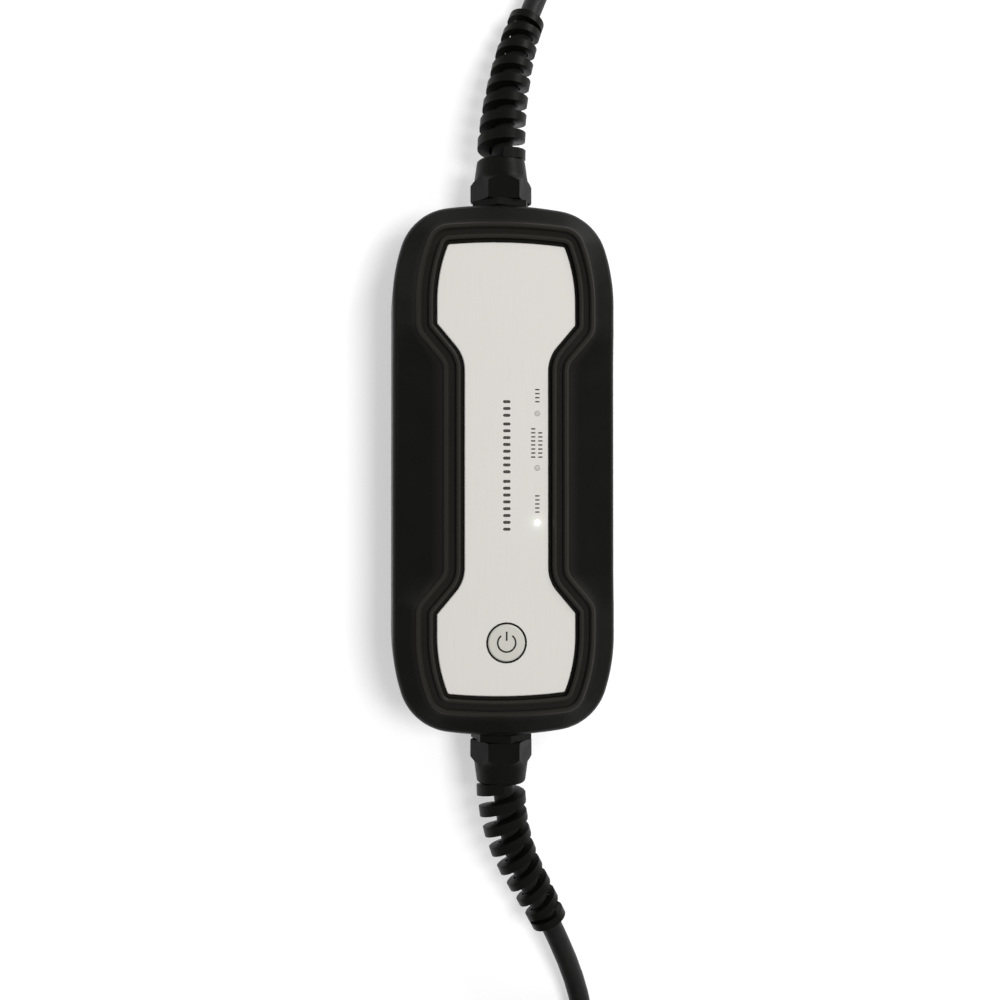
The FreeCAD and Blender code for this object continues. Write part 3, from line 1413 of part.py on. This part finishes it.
make_back_cover()
make_front_housing()
make_cover_screws()
make_face_plate()
make_button()
make_lights()
make_front_board()
make_power_board()
make_terminals()
make_wires()
make_ribbon_cable()
make_gland("mains", 1, MAINS_ROUTE)
make_gland("vehicle", -1, VEHICLE_ROUTE)
make_cords()
make_plug()
make_connector()
doc.recompute()

for item in doc.Objects:
    if "Invalid" in item.State or "Error" in item.State:
        raise ValueError(f"{item.Name} failed: {item.State}")
os.makedirs("parts", exist_ok=True)
for name, item in nodes.items():
    shape = item.Shape
    if shape.isNull() or not shape.isValid() or not shape.Solids:
        raise ValueError(f"{name} is not a valid solid")
    shape.exportStep(f"parts/{name}.step")
print(len(nodes), "nodes,", sum(len(item.Shape.Solids) for item in nodes.values()), "solids")
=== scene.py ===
"""Dresses the portable charging box: cords, finishes, printed marks, lights and camera.

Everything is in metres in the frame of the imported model: Z is up, and Y runs along the box
towards the mains cord. The box lies on its back at Z = 0."""

import math

import bmesh
import bpy
from mathutils import Matrix, Vector


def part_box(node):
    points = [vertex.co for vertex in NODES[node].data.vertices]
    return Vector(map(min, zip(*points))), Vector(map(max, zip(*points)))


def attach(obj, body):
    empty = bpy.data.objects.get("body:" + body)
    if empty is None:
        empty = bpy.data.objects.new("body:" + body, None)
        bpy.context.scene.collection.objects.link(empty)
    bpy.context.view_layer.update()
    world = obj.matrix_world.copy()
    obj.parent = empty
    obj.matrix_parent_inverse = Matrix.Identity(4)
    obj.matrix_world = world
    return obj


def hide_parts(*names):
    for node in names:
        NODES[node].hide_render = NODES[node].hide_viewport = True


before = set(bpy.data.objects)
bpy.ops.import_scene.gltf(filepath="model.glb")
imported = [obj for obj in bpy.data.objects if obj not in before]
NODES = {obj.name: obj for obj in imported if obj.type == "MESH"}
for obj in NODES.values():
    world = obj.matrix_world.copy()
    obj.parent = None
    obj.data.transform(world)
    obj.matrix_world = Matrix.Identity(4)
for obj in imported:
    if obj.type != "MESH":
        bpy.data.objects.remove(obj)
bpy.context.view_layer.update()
MM = 0.001
BEVEL_ANGLE = math.radians(40)      # edges sharper than this are softened
SMOOTH_ANGLE = math.radians(34)     # turns gentler than this are shaded as one surface
WELD = 0.02 * MM                    # corners nearer than this become one


# ---------------------------------------------------------------- small helpers

def linear(*rgb):
    """A colour written as 0-255 display values, in the linear values that shaders take."""
    parts = [c / 255 for c in rgb]
    return tuple(c / 12.92 if c <= 0.04045 else ((c + 0.055) / 1.055) ** 2.4 for c in parts) + (1.0,)


def link(obj):
    bpy.context.scene.collection.objects.link(obj)
    return obj


class Finish:
    """A principled material, with short calls for the nodes that vary it over the surface."""

    def __init__(self, name, colour, roughness, **sockets):
        self.material = bpy.data.materials.new(name)
        self.material.use_nodes = True
        self.nodes = self.material.node_tree.nodes
        self.links = self.material.node_tree.links
        self.shader = self.nodes["Principled BSDF"]
        self.shader.inputs["Base Color"].default_value = colour
        self.shader.inputs["Roughness"].default_value = roughness
        for socket, value in sockets.items():
            self.shader.inputs[socket.replace("_", " ")].default_value = value
        self.place = self.nodes.new("ShaderNodeTexCoord").outputs["Object"]

    def join(self, output, node, socket):
        self.links.new(output, node.inputs[socket])

    def stretched(self, x, y, z):
        """Object coordinates scaled along each axis, for grain that runs one way."""
        mapping = self.nodes.new("ShaderNodeMapping")
        mapping.inputs["Scale"].default_value = (x, y, z)
        self.join(self.place, mapping, "Vector")
        return mapping.outputs["Vector"]

    def noise(self, size, detail=2.0, where=None):
        """Cloudy noise whose lumps are about this size, in metres."""
        node = self.nodes.new("ShaderNodeTexNoise")
        node.inputs["Scale"].default_value = 1 / size
        node.inputs["Detail"].default_value = detail
        self.join(where or self.place, node, "Vector")
        return node.outputs["Fac"]

    def cells(self, size):
        node = self.nodes.new("ShaderNodeTexVoronoi")
        node.inputs["Scale"].default_value = 1 / size
        self.join(self.place, node, "Vector")
        return node.outputs["Distance"]

    def ramp(self, value, low, high, at=(0.3, 0.7)):
        """Blends from one colour or number to another as the value goes through the range."""
        node = self.nodes.new("ShaderNodeValToRGB")
        stops = node.color_ramp.elements
        stops[0].position, stops[1].position = at
        stops[0].color = low if isinstance(low, tuple) else (low, low, low, 1)
        stops[1].color = high if isinstance(high, tuple) else (high, high, high, 1)
        self.join(value, node, "Fac")
        return node.outputs["Color"]

    def colours(self, value, low, high, at=(0.3, 0.7)):
        self.join(self.ramp(value, low, high, at), self.shader, "Base Color")
        return self

    def roughs(self, value, low, high, at=(0.3, 0.7)):
        self.join(self.ramp(value, low, high, at), self.shader, "Roughness")
        return self

    def painted_ridge_highlight(self, colour, low, high):
        """Paints what stands above these levels a lighter colour, a painted highlight such as on ridges
        that catch the light.
        """
        level = self.nodes.new("ShaderNodeSeparateXYZ")
        self.join(self.place, level, "Vector")
        mix = self.nodes.new("ShaderNodeMix")
        mix.data_type = "RGBA"
        factor, _, _, _, _, _, below, above = mix.inputs[:8]
        base = self.shader.inputs["Base Color"]
        above.default_value = colour
        self.links.new(base.links[0].from_socket, below)
        self.links.new(self.ramp(level.outputs["Z"], 0.0, 1.0, (low, high)), factor)
        self.links.new(mix.outputs[2], base)
        return self

    def bumps(self, *layers):
        """Bump of (value, depth in metres) layers, one on the other."""
        normal = None
        for value, depth in layers:
            node = self.nodes.new("ShaderNodeBump")
            node.inputs["Distance"].default_value = depth
            self.join(value, node, "Height")
            if normal:
                self.join(normal, node, "Normal")
            normal = node.outputs["Normal"]
        self.join(normal, self.shader, "Normal")
        return self


def paint(finish, *names):
    for name in names:
        slots = NODES[name].data.materials
        slots.clear()
        slots.append(finish.material)


def soften(width, *names, segments=2):
    """Rounds the sharp edges of carried-over solids a little, as moulding and stamping do."""
    for name in names:
        bevel = NODES[name].modifiers.new("edges", "BEVEL")
        bevel.width = width
        bevel.segments = segments
        bevel.limit_method = "ANGLE"
        bevel.angle_limit = BEVEL_ANGLE


def rounded(*names):
    """Shades a faceted solid's gentle turns as one surface, and keeps its edges sharp."""
    group = bpy.data.node_groups.new("rounded", "GeometryNodeTree")
    group.interface.new_socket("Geometry", in_out="INPUT", socket_type="NodeSocketGeometry")
    group.interface.new_socket("Geometry", in_out="OUTPUT", socket_type="NodeSocketGeometry")
    nodes, join = group.nodes, group.links.new
    enters, leaves = nodes.new("NodeGroupInput"), nodes.new("NodeGroupOutput")
    merge = nodes.new("GeometryNodeMergeByDistance")
    merge.inputs["Distance"].default_value = WELD
    faces = nodes.new("GeometryNodeSetShadeSmooth")
    faces.domain = "FACE"
    edges = nodes.new("GeometryNodeSetShadeSmooth")
    edges.domain = "EDGE"
    angle = nodes.new("GeometryNodeInputMeshEdgeAngle")
    gentle = nodes.new("FunctionNodeCompare")
    gentle.operation = "LESS_THAN"
    gentle.inputs[1].default_value = SMOOTH_ANGLE
    join(enters.outputs[0], merge.inputs["Geometry"])
    join(merge.outputs["Geometry"], faces.inputs["Geometry"])
    join(faces.outputs["Geometry"], edges.inputs["Geometry"])
    join(angle.outputs["Unsigned Angle"], gentle.inputs[0])
    join(gentle.outputs[0], edges.inputs["Shade Smooth"])
    join(edges.outputs["Geometry"], leaves.inputs[0])
    for name in names:
        NODES[name].modifiers.new("rounded", "NODES").node_group = group


# ---------------------------------------------------------------- camera

LOOKS_AT = Vector((-0.5, -13.2, 24.0)) * MM
DISTANCE = 0.530
TILT_LEFT = math.radians(6.2)
TILT_DOWN = math.radians(0.5)
SENSOR = 36.0                   # both in millimetres
LENS = 42.4


def make_camera():
    data = bpy.data.cameras.new("camera")
    data.sensor_width = SENSOR
    data.lens = LENS
    camera = link(bpy.data.objects.new("camera", data))
    back = Vector((-math.sin(TILT_LEFT), -math.sin(TILT_DOWN), math.cos(TILT_LEFT))).normalized()
    right = Vector((0, 1, 0)).cross(back).normalized()
    up = back.cross(right)
    turn = Matrix((right, up, back)).transposed().to_4x4()
    camera.matrix_world = Matrix.Translation(LOOKS_AT + back * DISTANCE) @ turn
    bpy.context.scene.camera = camera


make_camera()


# ---------------------------------------------------------------- cords

MAINS_LENGTH = 0.24             # the cords' real lengths, in metres
VEHICLE_LENGTH = 5.0
CORD_RADIUS = 4.75
TIE = 1.2                       # the wound-up cord stands on its ties
HANK_MIDDLE = Vector((0.0, -341.0))
HANK_RADIUS = 37.5
HANK_STRAIGHT = 86.0

# The same routes as the source's, in millimetres.
MAINS_ROUTE = [
    (0, 120.3, 23.5), (0, 156, 23.5), (8, 196, 18.5), (24, 234, 8.5), (30, 262, 4.75), (30, 288, 8.5),
    (26.5, 313, 18.5), (24.5, 338, 18.5),
]
VEHICLE_ROUTE = [
    (0, -120.3, 23.5), (0, -162, 23.5), (24, -206, 18), (39.5, -244, 7.5), (42.25, -276, 4.75),
]
VEHICLE_TAIL = [(42.25, -408, 15.45), (33, -430, 20), (22, -450, 25), (19, -471, 25)]
# The places that the turns take in the hank, as (column from inside, layer from below). The first and
# the last are on the outside, one over the other, where the cord comes in and goes out.
HANK_ORDER = [(1, 0)] + [(0, layer) for layer in range(6)] + [(1, layer) for layer in range(5, 0, -1)]
PER_TURN = 24
ROUND_STEPS = 6                 # how finely a cord is drawn around and along
ALONG_STEPS = 4
MOVE = 0.09                     # the share of a turn in which it goes over to its next place


def winding():
    """Control points of the hank's turns, from the top of its right-hand side.

    Each turn keeps its place in the bundle, then moves on to the next one in a short stretch. The later
    the turn, the earlier in its round it moves, so that no two turns meet. The last goes down the
    right-hand side only."""
    last = len(HANK_ORDER) - 1
    half, points = HANK_STRAIGHT / 2, []
    around = 2 * HANK_STRAIGHT + 2 * math.pi * HANK_RADIUS
    final = round(PER_TURN * HANK_STRAIGHT / around)
    for i in range(PER_TURN * last + final + 1):
        turn, step = divmod(i, PER_TURN)
        share = step / PER_TURN
        begins = (1 - MOVE) - (1 - 2 * MOVE) * turn / last
        moved = min(1.0, max(0.0, (share - begins) / MOVE)) if turn < last else 0.0
        (column, layer), onward = HANK_ORDER[turn], HANK_ORDER[min(turn + 1, last)]
        column += (onward[0] - column) * moved
        layer += (onward[1] - layer) * moved
        radius = HANK_RADIUS + (2 * column - 1) * CORD_RADIUS
        along = share * around
        if along <= HANK_STRAIGHT:
            place = Vector((radius, half - along))
        elif along <= HANK_STRAIGHT + math.pi * HANK_RADIUS:
            angle = (along - HANK_STRAIGHT) / HANK_RADIUS
            place = Vector((radius * math.cos(angle), -half - radius * math.sin(angle)))
        elif along <= 2 * HANK_STRAIGHT + math.pi * HANK_RADIUS:
            place = Vector((-radius, along - HANK_STRAIGHT * 1.5 - math.pi * HANK_RADIUS))
        else:
            angle = (around - along) / HANK_RADIUS
            place = Vector((radius * math.cos(angle), half + radius * math.sin(angle)))
        points.append((*(HANK_MIDDLE + place), TIE + CORD_RADIUS * (1 + 2 * layer)))
    return points


def make_cord(name, points):
    """A round cord along one smooth spline."""
    data = bpy.data.curves.new(name, "CURVE")
    data.dimensions = "3D"
    data.bevel_depth = CORD_RADIUS * MM
    data.bevel_resolution = ROUND_STEPS
    data.resolution_u = ALONG_STEPS
    data.use_fill_caps = True
    spline = data.splines.new("NURBS")
    spline.points.add(len(points) - 1)
    for point, place in zip(spline.points, points):
        point.co = (*(value * MM for value in place), 1.0)
    spline.order_u = 3
    spline.use_endpoint_u = True
    return link(bpy.data.objects.new(name, data))


def make_cords(jacket):
    cords = (
        ("mains", "plug", MAINS_ROUTE, MAINS_LENGTH, ["mains_cord"],
         ["plug_body", "plug_pins", "plug_earth_clips"]),
        ("vehicle", "connector", VEHICLE_ROUTE + winding() + VEHICLE_TAIL, VEHICLE_LENGTH,
         ["vehicle_cord", "vehicle_cord_coil", "vehicle_cord_tail"],
         ["connector_nose", "connector_handle", "connector_relief", "connector_contacts",
          "vehicle_coil_ties"]),
    )
    for end, far_end, points, length, solids, pieces in cords:
        cord = make_cord(end + "_cord_whole", points)
        cord.data.materials.append(jacket.material)
        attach(cord, "root")
        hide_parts(*solids)


# ---------------------------------------------------------------- finishes

def moulded(name, dark, light, roughness, specular, grain=0.00045, depth=0.00002):
    """A moulded plastic: slightly uneven colour and gloss, and a fine grain from the mould."""
    finish = Finish(name, dark, roughness, Specular_IOR_Level=specular)
    finish.colours(finish.noise(0.02, 3), dark, light)
    finish.roughs(finish.noise(0.006, 4), roughness - 0.05, roughness + 0.05)
    return finish.bumps((finish.noise(grain, 2), depth), (finish.noise(0.012, 1), depth * 2))


def rubbery(name, dark, light, roughness=0.62):
    finish = Finish(name, dark, roughness, Specular_IOR_Level=0.25, Sheen_Weight=0.04)
    finish.colours(finish.noise(0.004, 4), dark, light)
    finish.roughs(finish.noise(0.002, 3), roughness - 0.06, roughness + 0.06)
    return finish.bumps((finish.noise(0.0008, 3), 0.00003))


def satin_silver(name, dark, light):
    """A silver sheet, finely brushed along the box."""
    finish = Finish(name, light, 0.5, Metallic=0.15, Specular_IOR_Level=0.2)
    grain = finish.noise(0.00035, 3, finish.stretched(1.0, 0.02, 1.0))
    finish.colours(grain, dark, light, (0.1, 0.9))
    finish.roughs(grain, 0.48, 0.53)
    return finish.bumps((grain, 0.000001), (finish.noise(0.00025, 2), 0.000002))


def bright_metal(name, dark, light, roughness):
    finish = Finish(name, light, roughness, Metallic=1.0)
    finish.colours(finish.noise(0.0015, 4), dark, light)
    finish.roughs(finish.noise(0.0006, 3), roughness - 0.08, roughness + 0.08)
    return finish.bumps((finish.noise(0.0004, 3), 0.000008))


def coated(name, dark, light, roughness=0.4, size=0.0015):
    """Lacquered or potted parts inside the box."""
    finish = Finish(name, dark, roughness, Specular_IOR_Level=0.4, Coat_Weight=0.2)
    finish.colours(finish.cells(size), dark, light, (0.1, 0.6))
    finish.roughs(finish.noise(size, 3), roughness - 0.08, roughness + 0.08)
    return finish.bumps((finish.noise(size / 2, 2), 0.00002))


def laminate():
    """A circuit board: green lacquer over a maze of slightly raised tracks."""
    finish = Finish("green_laminate", linear(16, 84, 44), 0.35, Specular_IOR_Level=0.5)
    tracks = finish.cells(0.003)
    finish.colours(tracks, linear(14, 70, 38), linear(34, 116, 62), (0.35, 0.45))
    finish.roughs(finish.noise(0.002), 0.3, 0.42)
    return finish.bumps((tracks, 0.00004))


def hook_tape():
    finish = Finish("hook_tape", linear(20, 20, 22), 0.9, Sheen_Weight=0.3, Specular_IOR_Level=0.1)
    weave = finish.cells(0.0009)
    finish.colours(weave, linear(30, 30, 32), linear(12, 12, 13), (0.1, 0.6))
    finish.roughs(finish.noise(0.001), 0.85, 0.95)
    return finish.bumps((weave, 0.00015))


GLOW = (0.95, 1.0, 0.95, 1)
LIT = 2.5


def lamp_cap(name, colour, glow):
    """A light pipe's frosted end."""
    finish = Finish(name, colour, 0.3, Specular_IOR_Level=0.5, Transmission_Weight=0.15)
    finish.shader.inputs["Emission Color"].default_value = GLOW
    finish.shader.inputs["Emission Strength"].default_value = glow
    finish.roughs(finish.noise(0.0005, 2), 0.25, 0.4)
    return finish.bumps((finish.noise(0.0003, 2), 0.00001))


RIDGE_HIGHLIGHT_LEVELS = (45.2 * MM, 46.2 * MM)       # the housing's ridges take a painted highlight, fading in from the first level to the second


def paint_everything():
    housing = moulded("moulded_black", linear(10, 10, 8), linear(13, 13, 11), 0.36, 0.13)
    # painted highlight: the ridge tops are coloured lighter than the black housing below them
    housing.painted_ridge_highlight(linear(38, 36, 32), *RIDGE_HIGHLIGHT_LEVELS)
    paint(housing, "front_housing", "back_cover")
    nylon = moulded("nylon_black", linear(10, 10, 8), linear(13, 13, 11), 0.42, 0.1, 0.0008)
    paint(nylon, *[f"{end}_{part}" for end in ("mains", "vehicle")
                   for part in ("gland_body", "gland_nut", "locknut")])
    paint(moulded("grip_black", linear(18, 18, 17), linear(24, 24, 23), 0.48, 0.28, 0.0006, 0.00004),
          "plug_body", "connector_nose", "connector_handle")
    paint(rubbery("seal_rubber", linear(14, 13, 12), linear(20, 19, 17)),
          "button_seal", "housing_gasket", "connector_relief", "mains_gland_seal", "vehicle_gland_seal",
          "mains_gland_washer", "vehicle_gland_washer")
    paint(satin_silver("plate_silver", linear(201, 198, 193), linear(207, 204, 199)), "face_plate")
    paint(satin_silver("button_silver", linear(184, 182, 174), linear(194, 192, 184)), "mode_button")
    paint(lamp_cap("lamp_lit", linear(245, 255, 246), LIT), "power_light_pipe")
    paint(lamp_cap("lamp_dark", linear(182, 180, 175), 0.0), "current_light_pipe", "fault_light_pipe",
          "indicator_lamps")
    paint(bright_metal("zinc", linear(150, 150, 150), linear(186, 186, 184), 0.38), "cover_screws",
          "indicator_board_screws", "power_board_screws", "terminal_screws")
    paint(bright_metal("nickel", linear(196, 192, 182), linear(216, 213, 205), 0.25), "plug_pins",
          "plug_earth_clips", "connector_contacts")
    paint(laminate(), "indicator_board", "power_board")
    paint(hook_tape(), "vehicle_coil_ties")
    for name, low, high, nodes in (
        ("relay_case", (26, 26, 28), (38, 38, 40), ("live_relay", "neutral_relay", "mode_switch")),
        ("module_case", (20, 20, 20), (34, 34, 34), ("supply_module", "board_fuse", "control_chips",
                                                    "switch_plunger")),
        ("film_case", (168, 132, 30), (196, 158, 48), ("filter_capacitor",)),
        ("can_sleeve", (22, 26, 52), (34, 40, 76), ("smoothing_capacitors",)),
        ("surge_lacquer", (24, 50, 112), (40, 72, 150), ("surge_absorbers",)),
        ("ferrite", (44, 44, 44), (62, 62, 60), ("filter_choke", "leakage_sensor")),
        ("terminal_green", (24, 92, 46), (38, 118, 62), ("mains_terminal", "vehicle_terminal")),
        ("brown_core", (74, 40, 22), (92, 54, 30), ("live_wires",)),
        ("blue_core", (18, 44, 122), (30, 62, 152), ("neutral_wires",)),
        ("earth_core", (52, 132, 30), (214, 206, 40), ("earth_wires",)),
        ("white_core", (176, 176, 174), (204, 204, 200), ("pilot_wire",)),
        ("flat_grey", (138, 138, 140), (160, 160, 162), ("ribbon_cable",)),
    ):
        paint(coated(name, linear(*low), linear(*high)), *nodes)


make_cords(rubbery("cord_jacket", linear(14, 14, 13), linear(20, 20, 19), 0.56))
paint_everything()
soften(0.25 * MM, "back_cover")
soften(0.12 * MM, "face_plate", "mode_button")
rounded("mains_gland_nut", "vehicle_gland_nut")


# ---------------------------------------------------------------- printed marks

PRINT = 0.02 * MM               # how thick the ink lies
DASH_STEPS = 6                  # the sides of a dash's round end
PLATE_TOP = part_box("face_plate")[1].z
BUTTON_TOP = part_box("mode_button")[1].z
BUTTON_MIDDLE = (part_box("mode_button")[0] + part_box("mode_button")[1]) / 2


def raised(mesh, outline, level):
    """A flat shape of ink: an outline in millimetres, lifted off the surface that carries it."""
    low = [mesh.verts.new((x * MM, y * MM, level)) for x, y in outline]
    high = [mesh.verts.new((x * MM, y * MM, level + PRINT)) for x, y in outline]
    mesh.faces.new(high)
    mesh.faces.new(low[::-1])
    for i in range(len(outline)):
        j = (i + 1) % len(outline)
        mesh.faces.new((low[i], low[j], high[j], high[i]))


def round_dash(x, y, length, width):
    """A dash across the plate with round ends, as an outline."""
    half, r, corners = length / 2 - width / 2, width / 2, []
    for side in (1, -1):
        for i in range(DASH_STEPS + 1):
            angle = math.pi * (i / DASH_STEPS - side / 2)
            corners.append((x + side * half + r * math.cos(angle), y + r * math.sin(angle)))
    return corners


def finished(name, mesh, finish, body):
    data = bpy.data.meshes.new(name)
    bmesh.ops.recalc_face_normals(mesh, faces=mesh.faces)
    mesh.to_mesh(data)
    mesh.free()
    data.materials.append(finish.material)
    piece = link(bpy.data.objects.new(name, data))
    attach(piece, body)
    return piece


# Rows of dashes stand where the real plate has words: x, first y, how many, pitch, length, width.
TITLE_X, TITLE_PITCH, TITLE_LETTER = 0.1, 2.95, (3.3, 1.3)
TITLE_WORDS = ((-26.0, 8), (-1.2, 8), (23.2, 3))
LEGEND_PITCH, LEGEND_LETTER = 1.75, (2.0, 0.6)
LEGENDS = ((13.4, -18.6, 5), (11.6, 5.2, 8), (14.7, 5.2, 7), (13.4, 29.2, 4))


def make_plate_marks(ink):
    mesh = bmesh.new()
    for first, count in TITLE_WORDS:
        for i in range(count):
            raised(mesh, round_dash(TITLE_X, first + TITLE_PITCH * i, *TITLE_LETTER), PLATE_TOP)
    for x, first, count in LEGENDS:
        for i in range(count):
            raised(mesh, round_dash(x, first + LEGEND_PITCH * i, *LEGEND_LETTER), PLATE_TOP)
    finished("plate_marks", mesh, ink, "root")


SYMBOL_RADIUS, SYMBOL_LINE = 3.9, 0.72
SYMBOL_OPENING, SYMBOL_STEPS = math.radians(38), 40
BAR_FROM, BAR_TO = 0.9, 4.9


def make_button_mark(ink):
    """A plain standby sign: a ring open at its top, and a bar through the opening."""
    mesh = bmesh.new()
    x, y = (v / MM for v in BUTTON_MIDDLE[:2])
    outer, inner = SYMBOL_RADIUS + SYMBOL_LINE / 2, SYMBOL_RADIUS - SYMBOL_LINE / 2
    first, span = math.pi / 2 + SYMBOL_OPENING, 2 * math.pi - 2 * SYMBOL_OPENING
    angles = [first + span * i / SYMBOL_STEPS for i in range(SYMBOL_STEPS + 1)]
    for a, b in zip(angles, angles[1:]):
        raised(mesh, [(x + r * math.cos(c), y + r * math.sin(c))
                      for r, c in ((outer, a), (outer, b), (inner, b), (inner, a))], BUTTON_TOP)
    bar = [(x + side * SYMBOL_LINE / 2, y + end)
           for side, end in ((-1, BAR_FROM), (1, BAR_FROM), (1, BAR_TO), (-1, BAR_TO))]
    raised(mesh, bar, BUTTON_TOP)
    finished("button_mark", mesh, ink, "button")


def ink_finish(name, dark, light):
    ink = Finish(name, dark, 0.6, Specular_IOR_Level=0.3)
    ink.colours(ink.noise(0.0006, 3), dark, light)
    return ink.bumps((ink.noise(0.0003), 0.000003))


make_plate_marks(ink_finish("plate_ink", linear(54, 52, 48), linear(70, 67, 62)))
make_button_mark(ink_finish("button_ink", linear(24, 23, 20), linear(34, 32, 29)))


# ---------------------------------------------------------------- floor and light

FLOOR_SIZE = 8.0
FLOOR_LIFT = 0.44               # the share of its own light that the floor shows to these rays
LIFTED_RAYS = ("Is Camera Ray", "Is Glossy Ray", "Is Transmission Ray")
WORLD_LIGHT = 0.4
# name: place, size, power in watts, whether it shows in reflections
LIGHTS = {
    "key": ((0.64, 0.0, 1.9), 0.7, 30, False),
    "rim": ((0.8, 0.85, 0.5), 0.4, 6.5, True),
    "fill": ((-0.9, 0.4, 0.6), 0.5, 0.8, True),
}
GLOW_POWER = 0.00012            # the lit light pipe's own light, just above it
GLOW_COLOUR = (0.9, 1.0, 0.92)
GLOW_RADIUS, GLOW_RISE = 0.8 * MM, 2.2 * MM


def make_floor():
    """A white floor that the camera sees a little brighter, up to white, and its shadow stays."""
    bpy.ops.mesh.primitive_plane_add(size=FLOOR_SIZE)
    floor = bpy.context.object
    floor.name = "floor"
    white = Finish("floor_white", (1, 1, 1, 1), 0.9, Specular_IOR_Level=0.0)
    nodes, join = white.nodes, white.links.new
    rays = nodes.new("ShaderNodeLightPath")
    lit = nodes.new("ShaderNodeEmission")
    mix = nodes.new("ShaderNodeMixShader")

    def maths(operation, first, second):
        node = nodes.new("ShaderNodeMath")
        node.operation = operation
        join(first, node.inputs[0])
        if isinstance(second, float):
            node.inputs[1].default_value = second
        else:
            join(second, node.inputs[1])
        return node.outputs[0]

    camera, glossy, through = (rays.outputs[kind] for kind in LIFTED_RAYS)
    seen = maths("ADD", maths("ADD", camera, glossy), through)
    join(maths("MULTIPLY", seen, FLOOR_LIFT), mix.inputs["Fac"])
    join(white.shader.outputs[0], mix.inputs[1])
    join(lit.outputs[0], mix.inputs[2])
    join(mix.outputs[0], nodes["Material Output"].inputs["Surface"])
    floor.data.materials.append(white.material)


def area_light(name, where, size, power, gloss):
    """A square light that faces the middle of the box."""
    data = bpy.data.lights.new(name, "AREA")
    data.size = size
    data.energy = power
    lamp = link(bpy.data.objects.new(name, data))
    lamp.location = where
    lamp.rotation_euler = (-Vector(where)).to_track_quat("-Z", "Y").to_euler()
    lamp.visible_glossy = gloss


def make_lights():
    for name, light in LIGHTS.items():
        area_light(name, *light)
    lamp = bpy.data.lights.new("power_glow", "POINT")
    lamp.energy = GLOW_POWER
    lamp.color = GLOW_COLOUR
    lamp.shadow_soft_size = GLOW_RADIUS
    low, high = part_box("power_light_pipe")
    glow = link(bpy.data.objects.new("power_glow", lamp))
    glow.location = ((low.x + high.x) / 2, (low.y + high.y) / 2, high.z + GLOW_RISE)
    world = bpy.data.worlds.new("world")
    bpy.context.scene.world = world
    world.use_nodes = True
    background = world.node_tree.nodes["Background"]
    background.inputs["Color"].default_value = (1, 1, 1, 1)
    background.inputs["Strength"].default_value = WORLD_LIGHT


make_floor()
make_lights()

bpy.context.scene.view_settings.view_transform = "Standard"
